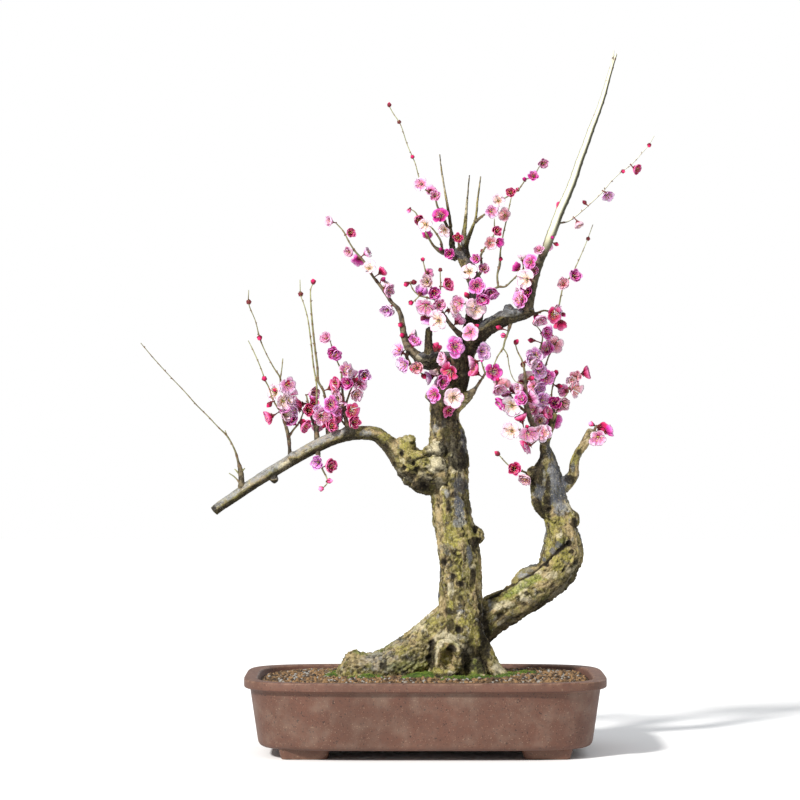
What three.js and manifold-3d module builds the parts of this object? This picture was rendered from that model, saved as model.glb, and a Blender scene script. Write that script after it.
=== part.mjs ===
// A Japanese apricot bonsai in flower: an old twin-trunk tree with one long low limb on its left,
// bare whips above its crown and pink blossoms on its twigs, in a plain unglazed clay pot.
import * as THREE from 'three';
import { mergeVertices } from 'three/addons/utils/BufferGeometryUtils.js';
import Module from 'manifold-3d';

const wasm = await Module();
wasm.setup();

// Driving dimensions in millimetres. The pot stands on z = 0.
const POT_LENGTH = 430;
const POT_WIDTH = 300;
const POT_HEIGHT = 92;
const POT_WALL = 9;
const POT_FLOOR = 10;
const POT_BASE_INSET = 20;
const POT_LIP = 7;
const POT_LIP_HEIGHT = 10;
const POT_CENTRE_X = 30;
const OUTLINE_SIDES = 28;
const OUTLINE_POWER = 0.42;
const RIM_ROUND = 1.5;
const FOOT_HEIGHT = 12;
const FOOT_LENGTH = 62;
const FOOT_WIDTH = 46;
const FOOT_TAPER = 0.85;
const FOOT_INSET_X = 42;
const FOOT_INSET_Y = 36;
const DRAIN_RADIUS = 11;
const DRAIN_SPACING = 180;
const SOIL_LINE = 90;
const SOIL_EDGE = 83;
const SOIL_CROWN = 9;
const WOOD_DEPTH = 14;
const FIT_GAP = 0.3;

// Flower sizes: reach is a petal's length, cup is how far its rim stands above the flower's
// middle, and lift is how far that middle stands off the twig. STALK_ROOT is how far a flower's
// stalk goes into the twig.
const FLOWERS = {
  bud: { reach: 4.3, cup: 0, lift: 4 },
  half: { reach: 8, cup: 7, lift: 6.5 },
  open: { reach: 10.5, cup: 4.6, lift: 7.5 },
  wide: { reach: 12.5, cup: 3.8, lift: 8 },
};
const STALK_ROOT = 1;
const GOLDEN_ANGLE = THREE.MathUtils.degToRad(137.5);

// Shapes of a flower, a bell and a bud, as shares of their reach or cup, with angles in degrees.
const PETAL = { half: 18, tilt: 0.07, rootOut: 0.3, rootDown: 0.24, notchOut: 0.7, notchUp: 0.55 };
const BELL = { heart: 0.1, notchOut: 0.76, notchUp: 0.55 };
const BUD = { girth: 0.95, girthUp: 0.1, tip: 1.3 };

// A place on a limb becomes a ring of its surface where leaving it out would change the limb by
// more than this many millimetres, and by this share of its radius.
const SLACK = 0.6;
const SLACK_SHARE = 0.05;

// Every place on the tree is [x, y, z, radius] or a part of it: x to the right of the tree's middle,
// y towards its back, z above the soil line, and the radius of the wood there.
const TRUNK = [
  [68, 2, -22, 30], [70, 0, 8, 33], [72, -2, 35, 31], [72, -4, 60, 28], [72, -6, 92, 25],
  [72, -7, 123, 23], [70, -8, 153, 24], [64, -8, 183, 23.5], [60, -7, 210, 23], [59, -5, 238, 23],
  [58, -3, 263, 22], [57, 0, 285, 20.5], [54, 1, 305, 17], [55, 1, 322, 17.5], [60, 1, 337, 16],
  [69, 2, 352, 12], [76, 3, 372, 10.5], [82, 3, 393, 11], [84, 3, 402, 11.5], [87, 5, 423, 10.5],
  [92, 8, 445, 10], [92, 12, 465, 9.5], [86, 15, 482, 8.5], [79, 18, 498, 8], [72, 20, 512, 7],
];
const SECOND_TRUNK = [
  [78, 14, 38, 24], [98, 20, 60, 22.5], [120, 26, 76, 22.5], [147, 31, 92, 24], [175, 35, 105, 24.5],
  [190, 37, 121, 24], [197, 37, 142, 24.5], [197, 35, 160, 21], [195, 33, 175, 17.5],
  [191, 31, 190, 17.5], [183, 29, 205, 20.5], [180, 28, 220, 20], [178, 28, 236, 18.5],
  [178, 28, 249, 14.5], [178, 28, 262, 9], [175, 28, 274, 6.2], [179, 28, 290, 5],
  [184, 29, 304, 4], [187, 31, 313, 3.2],
];
const LEFT_LIMB = [
  [50, -7, 241, 24], [31, -11, 244, 27.5], [15, -15, 252, 23], [3, -18, 262, 16.5], [-6, -20, 270, 12],
  [-15, -23, 278.5, 9.3], [-28, -27, 289, 8.7], [-45, -31, 291, 8.3], [-62, -34, 289, 8],
  [-80, -37, 284, 8], [-100, -40, 275, 7.8], [-120, -42, 264, 7.4], [-140, -43, 252, 7.1],
  [-160, -44, 240, 7], [-180, -44, 227, 6.6], [-200, -43, 213, 6.2], [-215, -42, 203, 6],
  [-221, -42, 198, 5.8],
];

// Thinner limbs, each a list of places with its number of sides.
const LIMBS = [
  { sides: 8, places: [[66, 22, 500, 6], [63, 22, 516, 5.4], [60, 22, 540, 4], [57, 22, 560, 3],
    [54, 23, 583, 1.8], [50, 25, 608, 1.3], [48, 26, 627, 0.9]] },
  { sides: 6, places: [[80, 17, 500, 6.5], [78, 14, 515, 5.8], [82, 11, 527, 4.4], [87, 8, 537, 3.4],
    [91, 6, 548, 2.4], [93, 6, 568, 1.7], [97, 7, 599, 1.3]] },
  { sides: 6, places: [[76, 20, 506, 4], [77, 24, 528, 3.6], [79, 26, 545, 2.6], [81, 28, 570, 2],
    [84, 30, 602, 1.5]] },
  { sides: 10, places: [[84, 2, 398, 12], [98, -3, 412, 11], [112, -8, 421, 10], [127, -13, 429, 10],
    [141, -17, 431, 8], [152, -20, 434, 6.5], [158, -22, 438, 5]] },
  { sides: 7, places: [[128, -13, 430, 8], [131, -13, 442, 5]] },
  { sides: 9, places: [[194, 27, 226, 10], [203, 23, 232, 7.5], [209, 20, 240, 6.2],
    [210, 17, 253, 5.6], [214, 13, 265, 5.2], [221, 9, 276, 5.4], [227, 6, 287, 5.6],
    [230, 4, 293, 5]] },
  { sides: 9, places: [[76, 3, 378, 9], [62, 5, 380, 8], [48, 8, 380, 8], [36, 11, 377, 10],
    [26, 13, 379, 8.5], [20, 14, 383, 5]] },
  { sides: 7, places: [[35, 11, 378, 7], [34, 10, 400, 5.2], [35, 9, 416, 4.6]] },
  { sides: 7, places: [[50, -2, 322, 8], [40, -4, 331, 6], [33, -5, 337, 5]] },
  { sides: 7, places: [[66, -2, 322, 9], [76, -4, 330, 7], [84, -5, 337, 5]] },
];

// Surface roots: the buttress on the left, then those towards the right, front and back.
const ROOTS = [
  { sides: 10, places: [[66, 0, 68, 24], [46, -2, 47, 27.5], [26, -4, 31, 27], [6, -6, 21, 24],
    [-14, -8, 11, 22], [-34, -10, 6, 21], [-52, -11, 5, 21], [-68, -12, -6, 15]] },
  { sides: 7, places: [[84, -4, 46, 17], [100, -8, 22, 13], [113, -11, 6, 9.5], [136, -15, -10, 6]] },
  { sides: 7, places: [[58, -8, 14, 26], [51, -38, -3, 15], [46, -60, -14, 9]] },
  { sides: 6, places: [[76, 16, 26, 22], [80, 46, 2, 14], [84, 74, -14, 8]] },
  { sides: 6, places: [[42, 12, 26, 23], [18, 34, 4, 15], [2, 54, -14, 9]] },
  { sides: 6, places: [[84, -14, 14, 17], [96, -38, -4, 10], [106, -56, -14, 6]] },
];

// Knobs and burls: a place and the half-widths of an egg-shaped swelling there.
const KNOBS = [
  { at: [-54, -12, 16], size: [15, 15, 15] },
  { at: [90, -8, 168], size: [10, 12, 13] },
  { at: [7, -20, 274], size: [11, 13, 11] },
  { at: [163, 24, 240], size: [8, 9, 12] },
  { at: [206, 30, 186], size: [10, 10, 13] },
];

// The healed knot low on the front of the trunk: a boss with a hollow in it.
const KNOT_BOSS = [[57, -16, 25, 19], [57, -28, 24, 18], [57, -40, 22, 15]];
const KNOT_HOLLOW = { at: [57, -47, 23], size: [9.5, 10, 12] };

// Bare shoots that grow from the far end of the left limb, with their spurs.
const BARE_SHOOTS = [
  [[-188, -44, 220, 5], [-188, -46, 232, 4], [-189, -48, 246, 3.2], [-192, -50, 258, 2],
    [-194, -52, 266, 1.8], [-198, -54, 276, 1.4], [-205, -57, 288, 1.5], [-214, -60, 297, 1.1],
    [-227, -64, 311, 1], [-240, -67, 324, 1], [-254, -70, 340, 0.9], [-272, -73, 359, 0.8],
    [-290, -76, 379, 0.8], [-305, -78, 397, 0.7]],
  [[-188, -46, 228, 2.6], [-192, -44, 234, 1.6], [-197, -42, 239, 1.2], [-203, -40, 243, 0.9]],
  [[-189, -48, 244, 2], [-184, -50, 249, 1]],
  [[-190, -48, 242, 2], [-196, -46, 248, 1]],
  [[-204, -57, 286, 1.4], [-207, -54, 294, 0.8]],
];

// Sprays: twigs that carry flowers. Each bloom is [x, z, side, kind]: it grows from the nearest
// point of its spray's twigs, towards the front for side -1 and towards the back for side 1.
const SPRAYS = [
  {
    name: 'spray_mid_left',
    twigs: [
      [[25, 13, 380, 7], [17, 15, 386, 6], [9, 18, 395, 5], [5, 21, 407, 4.3], [3, 24, 420, 3.6],
        [1, 27, 432, 3.2], [-3, 29, 441, 2.9], [-10, 31, 448, 2.6], [-18, 33, 460, 2.5],
        [-26, 35, 471, 2.3], [-33, 37, 480, 2], [-43, 39, 497, 1.8], [-55, 41, 511, 1.6],
        [-62, 42, 522, 1.4], [-69, 43, 535, 1.3], [-78, 44, 545, 1.1]],
      [[12, 17, 391, 3.4], [8, 10, 383, 2.6], [12, 2, 374, 2], [20, -2, 366, 1.5], [27, -1, 361, 1.1]],
    ],
    blooms: [
      [-83, 546, -0.5, 'half'], [-62, 532, -0.8, 'half'], [-60, 510, -1, 'half'],
      [-50, 501, 0.8, 'open'], [-42, 507, -0.6, 'half'], [-37, 489, -1.4, 'open'],
      [-24, 484, 0.4, 'half'], [-21, 475, -1, 'bud'], [-17, 463, -1, 'half'],
      [-14, 440, -0.6, 'half'], [1, 421, -1.2, 'bud'], [3, 408, -1, 'bud'], [13, 406, 0.6, 'half'],
      [16, 397, -1.4, 'half'], [1, 388, -1.2, 'open'], [7, 373, -0.6, 'open'],
      [21, 368, -0.9, 'half'], [28, 359, -0.3, 'bud'],
    ],
  },
  {
    name: 'spray_centre_left',
    twigs: [
      [[76, -2, 405, 4], [66, -10, 414, 3], [56, -18, 426, 2.6], [47, -24, 440, 2.4],
        [40, -28, 455, 2.1], [35, -31, 470, 1.7], [30, -33, 485, 1.3], [27, -34, 497, 0.9]],
      [[42, -27, 450, 1.8], [32, -30, 452, 1.5], [22, -33, 455, 1.2], [15, -35, 462, 1.1],
        [12, -36, 470, 1]],
      [[46, -25, 442, 1.6], [36, -26, 434, 1.3], [30, -27, 430, 1.1]],
      [[24, -32, 455, 1.2], [17, -30, 448, 1.1], [11, -30, 444, 0.9]],
      [[42, -27, 452, 1.6], [48, -26, 462, 1.4], [48, -25, 478, 1], [48, -25, 484, 0.9]],
    ],
    blooms: [
      [48, 419, -0.9, 'wide'], [60, 437, -1.2, 'open'], [46, 443, -1.8, 'half'],
      [31, 443, -1.3, 'wide'], [24, 457, 0.8, 'half'], [13, 446, -1, 'bud'], [8, 468, -0.6, 'bud'],
      [16, 470, 0.8, 'bud'], [40, 458, -1.2, 'half'], [33, 470, -0.7, 'half'], [33, 481, 0.8, 'half'],
      [27, 497, -0.4, 'bud'], [55, 465, -0.6, 'open'], [48, 485, 0.2, 'bud'], [28, 428, 0.4, 'bud'],
      [37, 429, 0.9, 'half'], [68, 423, 0.8, 'half'],
    ],
  },
  {
    name: 'spray_trunk_low',
    twigs: [
      [[54, -10, 322, 4], [52, -22, 330, 3], [48, -30, 340, 2], [50, -31, 352, 1.4]],
      [[52, -22, 330, 2.4], [60, -26, 332, 1.6]],
    ],
    blooms: [
      [42, 337, -1, 'open'], [64, 331, -1, 'wide'], [55, 319, -1, 'bud'], [51, 352, -0.7, 'half'],
    ],
  },
  {
    name: 'spray_trunk_mid',
    twigs: [
      [[72, 2, 368, 3.4], [66, -12, 370, 2.8], [62, -18, 378, 2.2], [62, -20, 392, 1.6]],
    ],
    blooms: [[60, 364, -1.1, 'wide'], [65, 392, -1, 'wide'], [54, 379, -0.3, 'half']],
  },
  {
    name: 'spray_junction',
    twigs: [[[84, 0, 403, 3.4], [85, -14, 410, 2.4], [85, -20, 412, 1.6]]],
    blooms: [[84, 411, -1.2, 'half'], [90, 417, -0.6, 'bud']],
  },
  {
    name: 'spray_leader_low',
    twigs: [
      [[90, 4, 438, 3.4], [88, -8, 442, 2.6], [82, -12, 446, 1.8], [76, -13, 445, 1.3]],
      [[88, -7, 442, 2.2], [97, -7, 447, 1.8], [103, -5, 455, 1.6], [107, -5, 462, 1.2]],
    ],
    blooms: [
      [90, 434, -1.2, 'wide'], [73, 441, -0.6, 'open'], [99, 449, -1.4, 'half'],
      [108, 461, -0.8, 'half'], [80, 455, -0.6, 'bud'],
    ],
  },
  {
    name: 'spray_leader_high',
    twigs: [
      [[88, 14, 476, 3], [88, 2, 478, 2.4], [85, -4, 481, 1.8]],
      [[88, 1, 478, 2], [91, -3, 473, 1.8], [92, -6, 468, 1.5]],
    ],
    blooms: [[83, 484, -1, 'wide'], [92, 467, -1, 'open']],
  },
  {
    name: 'spray_leader_right',
    twigs: [
      [[88, 14, 474, 3.4], [97, 12, 484, 2.4], [98, 8, 494, 2.1], [97, 4, 503, 2], [101, -2, 511, 1.6],
        [107, -5, 520, 1.4], [113, -7, 529, 1.3], [113, -8, 541, 1.1], [113, -9, 547, 0.8]],
    ],
    blooms: [
      [100, 487, -0.9, 'half'], [93, 499, -1.1, 'half'], [99, 509, 0.9, 'bud'],
      [107, 518, -1.1, 'open'], [114, 532, -1, 'half'], [117, 520, 0.8, 'half'],
    ],
  },
  {
    name: 'spray_fork_left',
    twigs: [
      [[68, 20, 503, 4.4], [58, 17, 506, 3.4], [48, 14, 510, 3.2], [41, 12, 515, 2], [35, 10, 524, 1.7],
        [29, 9, 535, 1.5], [23, 8, 546, 1.3], [19, 7, 555, 1.1], [12, 6, 560, 0.9]],
      [[51, 15, 509, 2.2], [49, 11, 521, 1.8], [43, 8, 531, 1.5], [38, 6, 537, 1.2], [33, 4, 541, 1]],
    ],
    blooms: [
      [22, 548, -0.8, 'half'], [31, 540, -1.6, 'open'], [32, 527, 0.9, 'half'], [60, 506, -1, 'half'],
      [49, 511, -1.3, 'bud'], [11, 558, -0.5, 'bud'],
    ],
  },
  {
    name: 'spray_leader_tip',
    twigs: [
      [[61, 22, 530, 3], [55, 17, 543, 2.2], [50, 14, 553, 2], [45, 12, 563, 1.8], [42, 10, 573, 1.5],
        [36, 8, 579, 1.3], [28, 7, 585, 1.2], [23, 6, 597, 1], [18, 6, 615, 0.9], [9, 5, 636, 0.8],
        [0, 4, 662, 0.8], [-8, 4, 674, 0.8], [-13, 4, 683, 0.8]],
    ],
    blooms: [
      [49, 551, -1, 'wide'], [42, 575, -0.8, 'half'], [26, 589, -0.9, 'open'], [56, 534, -0.9, 'half'],
      [36, 582, 0.9, 'half'], [-1, 664, 0.4, 'bud'], [-13, 684, 0, 'bud'], [15, 622, -0.4, 'bud'],
    ],
  },
  {
    name: 'spray_top_centre',
    twigs: [[[73, 18, 508, 3.4], [71, 8, 516, 2], [70, 6, 522, 1.5]]],
    blooms: [[70, 524, -0.8, 'half']],
  },
  {
    name: 'spray_fork_right',
    twigs: [
      [[90, 7, 544, 2.8], [99, 3, 551, 1.8], [107, 0, 557, 1.6], [115, -3, 565, 1.4],
        [124, -5, 571, 1.3], [133, -7, 576, 1.2], [141, -8, 581, 1.1], [147, -9, 589, 1.1],
        [151, -10, 594, 1], [160, -11, 598, 1], [166, -12, 608, 0.9], [171, -12, 615, 0.9]],
    ],
    blooms: [
      [118, 568, -1.1, 'open'], [108, 553, -0.7, 'half'], [133, 577, -0.9, 'half'],
      [141, 582, 0.7, 'bud'], [149, 594, -0.7, 'bud'], [160, 597, -0.9, 'half'],
      [170, 613, -0.4, 'half'],
    ],
  },
  {
    name: 'spray_right_low',
    twigs: [
      [[94, 9, 449, 3.4], [104, 12, 458, 2], [112, 10, 463, 1.7], [119, 4, 466, 1.8],
        [126, -1, 466, 1.6], [134, -4, 473, 1.4], [142, -4, 481, 1.3], [148, -3, 488, 1.2]],
      [[118, 5, 466, 1.8], [117, 8, 480, 1.7], [120, 11, 493, 2], [121, 13, 510, 1.4],
        [124, 14, 528, 1.3], [128, 14, 546, 1.2], [131, 14, 560, 1.1], [134, 14, 574, 0.9]],
    ],
    blooms: [
      [142, 487, 0.6, 'half'], [147, 498, -0.6, 'half'], [128, 551, -1, 'half'], [121, 500, -0.8, 'bud'],
    ],
  },
  {
    name: 'spray_whip_right',
    twigs: [
      [[152, -20, 434, 6.5], [155, -20, 448, 5.6], [158.5, -20, 465, 5], [163.5, -21, 484, 4.8],
        [169, -22, 500, 4.8], [175, -22, 513, 5], [178.5, -23, 523, 5.6], [183, -24, 534, 5.6],
        [190, -25, 553, 5.3], [199, -26, 573, 5], [207, -27, 593, 4.8], [213.5, -28, 613, 4.5],
        [221, -29, 633, 4.2], [228, -30, 653, 3.9], [235.8, -32, 673, 3.3], [242.5, -34, 693, 3.1],
        [248, -36, 713, 2.7], [254, -38, 733, 2.3], [257, -39, 741, 1.6]],
      [[249, -36, 716, 2.2], [252, -39, 731, 1.5], [254, -41, 745, 0.9]],
      [[190, -24, 541, 1.8], [200, -20, 543, 1.2], [209, -17, 549, 1.2], [221, -14, 559, 1.1],
        [233, -11, 570, 1], [243, -9, 580, 1], [253, -7, 592, 0.9], [266, -5, 604, 0.8],
        [277, -3, 612, 0.8], [289, -1, 625, 0.7], [299, 0, 637, 0.7], [305, 1, 647, 0.6]],
    ],
    blooms: [
      [151, 472, -1, 'wide'], [155, 496, -0.8, 'open'], [166, 507, -1.5, 'half'],
      [176, 515, 0.9, 'half'], [181, 524, -0.9, 'bud'], [186, 516, -0.3, 'bud'],
      [147, 449, -0.9, 'half'], [167, 457, -0.7, 'half'], [164, 476, 1, 'half'],
      [193, 562, 0.5, 'half'], [233, 668, 0.4, 'bud'], [212, 542, -0.5, 'half'],
      [247, 576, -0.8, 'open'], [267, 604, -0.5, 'bud'], [281, 608, -0.7, 'half'],
      [299, 636, -0.5, 'bud'], [221, 566, 0.3, 'bud'],
    ],
  },
  {
    name: 'spray_right_side',
    twigs: [
      [[150, -20, 432, 4], [164, -14, 434, 2], [172, -12, 437, 1.6], [181, -8, 436, 1.6],
        [189, -5, 440, 1.5], [193, -3, 455, 1.3], [197, -1, 470, 1.2], [205, 1, 478, 1.1],
        [211, 3, 490, 1], [217, 5, 503, 0.8], [225, 7, 522, 0.7], [232, 9, 541, 0.6]],
    ],
    blooms: [
      [182, 433, -1, 'open'], [192, 424, 0.4, 'half'], [166, 428, -0.8, 'half'],
      [196, 468, -0.9, 'half'], [207, 478, -0.7, 'half'], [226, 524, 0.3, 'bud'],
    ],
  },
  {
    name: 'spray_hanging',
    twigs: [
      [[132, -15, 422, 3], [129, -20, 411, 1.9], [125, -22, 400, 1.7], [123, -23, 392, 1.6],
        [117, -25, 383, 1.2], [112, -27, 372, 1.1]],
      [[123, -23, 392, 1.3], [128, -22, 384, 1.1], [130, -21, 372, 0.9], [133, -20, 360, 0.8],
        [138, -22, 352, 0.8], [146, -25, 350, 0.7]],
    ],
    blooms: [[119, 416, -0.9, 'bud'], [124, 407, 0.5, 'bud']],
  },
  {
    name: 'spray_trunk_right',
    twigs: [
      [[74, -2, 328, 6], [86, -8, 339, 4], [91, -10, 345, 2.4], [97, -12, 354, 2], [105, -14, 364, 1.7],
        [112, -15, 360, 1.4], [116, -16, 348, 1.1]],
      [[102, -13, 361, 1.5], [98, -12, 374, 1.3], [95, -12, 388, 1.1]],
    ],
    blooms: [
      [92, 362, -0.9, 'half'], [111, 364, -1, 'open'], [117, 345, -0.7, 'half'],
      [97, 388, -0.9, 'open'], [89, 376, -0.5, 'half'],
    ],
  },
  {
    name: 'spray_limb_far',
    twigs: [
      [[-130, -43, 256, 4], [-131, -46, 272, 2.4], [-132, -48, 285, 2.6], [-135, -50, 298, 2.4],
        [-139, -51, 310, 2.2], [-143, -50, 322, 2], [-144, -50, 336, 1.8], [-142, -50, 348, 1.6],
        [-142, -50, 356, 1.5], [-150, -51, 369, 1.2], [-159, -52, 386, 1], [-166, -53, 403, 1.2],
        [-171, -54, 423, 0.9], [-179, -55, 444, 1], [-179, -56, 460, 0.7]],
      [[-142, -50, 354, 1.3], [-140, -48, 368, 1], [-139, -47, 379, 0.9]],
      [[-140, -51, 314, 1.8], [-150, -60, 330, 1.4], [-155, -64, 345, 1.2], [-159, -66, 353, 1.3],
        [-164, -67, 367, 1], [-173, -68, 388, 1], [-179, -68, 400, 0.7]],
      [[-132, -48, 286, 2.2], [-127, -42, 294, 1.7], [-120, -38, 303, 1.5], [-115, -36, 315, 1.3]],
    ],
    blooms: [
      [-147, 338, -0.8, 'open'], [-154, 325, -0.9, 'bud'], [-152, 311, -0.4, 'half'],
      [-134, 348, -1.2, 'open'], [-139, 329, -1.6, 'open'], [-130, 334, 0.9, 'wide'],
      [-122, 318, -1, 'open'], [-137, 312, -1, 'half'], [-126, 303, -0.9, 'half'],
      [-116, 301, -0.4, 'half'], [-110, 318, -0.8, 'half'], [-166, 404, -0.5, 'bud'],
      [-179, 446, 0.4, 'bud'], [-160, 355, -0.6, 'bud'],
    ],
  },
  {
    name: 'spray_limb_middle',
    twigs: [
      [[-98, -40, 278, 4], [-100, -32, 294, 3], [-104, -24, 306, 2.6], [-108, -18, 316, 2.2],
        [-110, -15, 326, 1.8], [-112, -13, 336, 1.3]],
      [[-85, -37, 286, 3.4], [-87, -39, 306, 2.2], [-88, -41, 325, 2], [-91, -42, 341, 1.9],
        [-97, -42, 352, 1.9], [-98, -42, 368, 1.8], [-101, -42, 392, 1.7], [-104, -42, 420, 1.6],
        [-106, -41, 447, 1.3], [-106, -40, 462, 1], [-103, -39, 469, 0.9]],
      [[-99, -36, 284, 2.6], [-98, -38, 312, 2], [-99, -39, 330, 1.7], [-99, -40, 347, 1.5],
        [-103, -37, 372, 1.4], [-106, -36, 400, 1.3], [-110, -36, 428, 1.1], [-115, -36, 446, 0.9],
        [-118, -36, 454, 0.9], [-119, -36, 473, 0.7]],
    ],
    blooms: [
      [-106, 337, -0.9, 'half'], [-105, 322, -1.2, 'half'], [-94, 311, -1, 'wide'],
      [-83, 344, 0.6, 'half'], [-83, 325, -1.4, 'open'], [-98, 300, 0.9, 'half'],
      [-80, 331, 0.9, 'half'], [-79, 311, -0.6, 'half'], [-84, 298, -0.9, 'half'],
      [-103, 470, -0.4, 'bud'], [-118, 456, 0.5, 'bud'], [-117, 325, -0.4, 'half'],
    ],
  },
  {
    name: 'spray_limb_near',
    twigs: [
      [[-60, -34, 288, 4.4], [-64, -37, 305, 2.8], [-66, -39, 320, 2.4], [-68, -41, 336, 2],
        [-69, -42, 352, 1.8], [-70, -42, 365, 1.4], [-75, -43, 377, 1.2], [-79, -43, 388, 1.1],
        [-83, -43, 400, 0.9]],
      [[-66, -39, 320, 1.9], [-60, -34, 338, 1.6], [-54, -31, 352, 1.3], [-45, -28, 362, 1]],
      [[-62, -36, 298, 2.4], [-70, -26, 306, 1.6], [-74, -20, 314, 1.2]],
    ],
    blooms: [
      [-86, 402, -0.5, 'half'], [-78, 386, -0.9, 'half'], [-66, 364, -1.1, 'open'],
      [-73, 349, -0.6, 'half'], [-61, 350, -1.8, 'half'], [-55, 355, 0.7, 'open'],
      [-54, 338, -1.1, 'half'], [-43, 361, -0.8, 'half'], [-72, 331, -0.5, 'half'],
      [-59, 318, -0.9, 'open'], [-57, 304, -0.9, 'half'], [-72, 314, -0.8, 'half'],
      [-76, 300, 0.7, 'half'],
    ],
  },
  {
    name: 'spray_limb_under',
    twigs: [
      [[-99, -41, 272, 4], [-95, -46, 258, 1.9], [-92, -48, 248, 1.6], [-87, -50, 238, 1.3],
        [-86, -51, 232, 1.1], [-92, -52, 225, 0.9]],
    ],
    blooms: [
      [-96, 256, -0.7, 'half'], [-85, 252, -0.8, 'half'], [-84, 234, -0.4, 'bud'],
      [-93, 225, -0.3, 'bud'],
    ],
  },
  {
    name: 'spray_crown_left',
    twigs: [
      [[176, 28, 274, 5], [169, 18, 288, 4.2], [161, 10, 298, 3.6], [155, 4, 312, 3.2],
        [151, 0, 326, 2.9], [151, -2, 340, 2.6], [150, -3, 352, 2.2], [149, -4, 366, 1.8],
        [146, -4, 378, 1.5], [141, -4, 388, 1.2], [138, -4, 398, 1]],
      [[154, 3, 314, 2.4], [146, 2, 320, 2], [138, 3, 328, 1.7], [131, 5, 338, 1.4],
        [125, 8, 345, 1.1]],
      [[161, 10, 298, 2.6], [152, 4, 296, 2], [142, 0, 294, 1.5], [136, -2, 293, 1.1]],
    ],
    blooms: [
      [139, 399, -0.3, 'bud'], [153, 377, -1, 'half'], [124, 347, -0.8, 'open'],
      [138, 340, 0.8, 'half'], [146, 343, -0.8, 'half'], [124, 328, -0.6, 'half'],
      [134, 323, -1, 'wide'], [147, 330, -1.7, 'half'], [157, 330, 0.8, 'half'],
      [146, 305, -0.9, 'half'], [134, 293, -1, 'open'], [153, 291, -0.9, 'wide'],
      [169, 289, -1, 'open'], [154, 277, 0.5, 'half'], [157, 356, -1, 'bud'],
    ],
  },
  {
    name: 'spray_crown_middle',
    twigs: [
      [[176, 29, 280, 5], [171, 32, 300, 3], [166, 34, 316, 2.6], [164, 35, 332, 2.3],
        [163, 34, 350, 2.1], [162, 32, 366, 2], [164, 30, 382, 1.8], [169, 27, 392, 1.5],
        [172, 24, 404, 1.3], [170, 20, 412, 1.1], [164, 16, 420, 0.9]],
      [[163, 34, 344, 2], [171, 38, 356, 1.7], [176, 41, 370, 1.5], [180, 42, 382, 1.4],
        [185, 42, 394, 1.2], [185, 41, 408, 1]],
    ],
    blooms: [
      [159, 402, -0.8, 'bud'], [163, 384, -1.2, 'half'], [166, 365, -1, 'open'],
      [176, 358, -0.9, 'half'], [167, 346, -0.9, 'half'], [170, 330, -0.9, 'open'],
      [162, 318, -1, 'half'], [174, 314, -1.3, 'half'], [170, 306, -0.7, 'half'],
      [182, 410, 0.5, 'half'], [173, 411, -1, 'half'], [179, 391, -1.1, 'open'],
      [187, 398, -0.9, 'half'], [163, 422, 0.2, 'bud'],
    ],
  },
  {
    name: 'spray_crown_right',
    twigs: [
      [[185, 30, 306, 4], [186, 38, 320, 2.6], [191, 44, 328, 1.8], [197, 47, 331, 1.4],
        [203, 49, 338, 1.2], [207, 50, 348, 1.1], [214, 50, 358, 1]],
      [[186, 38, 320, 1.8], [184, 48, 334, 1.5], [186, 54, 348, 1.3], [190, 58, 360, 1.1]],
    ],
    blooms: [
      [190, 363, -0.7, 'bud'], [193, 347, -0.9, 'bud'], [213, 357, -1, 'half'], [210, 343, -1, 'open'],
      [223, 362, 0.2, 'half'], [187, 326, -1.4, 'half'],
      [196, 327, -1, 'half'], [202, 341, 1, 'half'],
    ],
  },
  {
    name: 'spray_crown_back',
    twigs: [
      [[178, 34, 262, 4.4], [174, 48, 290, 2.6], [168, 62, 312, 2], [161, 72, 332, 1.6],
        [156, 80, 352, 1.2], [152, 84, 372, 1]],
      [[174, 48, 290, 2], [184, 60, 304, 1.5], [192, 68, 318, 1.2]],
    ],
    blooms: [
      [160, 330, 1, 'open'], [156, 352, 0.9, 'wide'], [172, 312, 1, 'wide'], [151, 373, 0.6, 'bud'],
      [186, 304, 1, 'open'], [194, 320, 0.8, 'half'], [168, 294, 0.9, 'half'],
      [166, 340, -0.6, 'half'],
    ],
  },
  {
    name: 'spray_second_right',
    twigs: [
      [[229, 5, 288, 4], [234, 2, 292, 2.4], [238, 0, 290, 1.6]],
      [[230, 3, 288, 2.6], [236, 0, 299, 1.6]],
    ],
    blooms: [
      [230, 301, -0.4, 'bud'], [240, 298, 0.6, 'half'], [237, 286, -1.1, 'open'],
      [247, 292, -0.2, 'half'],
    ],
  },
  {
    name: 'spray_second_left',
    twigs: [
      [[166, 24, 238, 4], [157, 22, 240, 2.6], [148, 20, 244, 1.6], [138, 18, 246, 1.3],
        [128, 16, 254, 1.1], [119, 15, 264, 0.9]],
    ],
    blooms: [[152, 237, -1, 'half'], [137, 247, -0.6, 'half'], [118, 265, 0, 'bud']],
  },
  {
    name: 'spray_trunk_back',
    twigs: [
      [[60, 8, 336, 5], [56, 26, 344, 2.6], [50, 38, 356, 2], [46, 46, 372, 1.6], [44, 50, 390, 1.2]],
      [[50, 38, 356, 1.6], [62, 50, 362, 1.3], [70, 58, 372, 1.1]],
    ],
    blooms: [
      [52, 346, 1, 'open'], [46, 370, 0.9, 'wide'], [44, 391, 0.6, 'half'], [62, 361, 1, 'wide'],
      [71, 374, 0.8, 'half'], [38, 358, -0.4, 'half'],
    ],
  },
];

// Solids: a closed three.js geometry with its shared vertices merged, ready to be joined or cut.
function solidOf(geometry) {
  geometry.deleteAttribute('normal');
  geometry.deleteAttribute('uv');
  const merged = mergeVertices(geometry);
  return new wasm.Manifold(new wasm.Mesh({
    numProp: 3,
    vertProperties: new Float32Array(merged.getAttribute('position').array),
    triVerts: new Uint32Array(merged.index.array),
  }));
}

function joined(solids) {
  return solids.reduce((whole, solid) => whole.add(solid));
}

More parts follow.
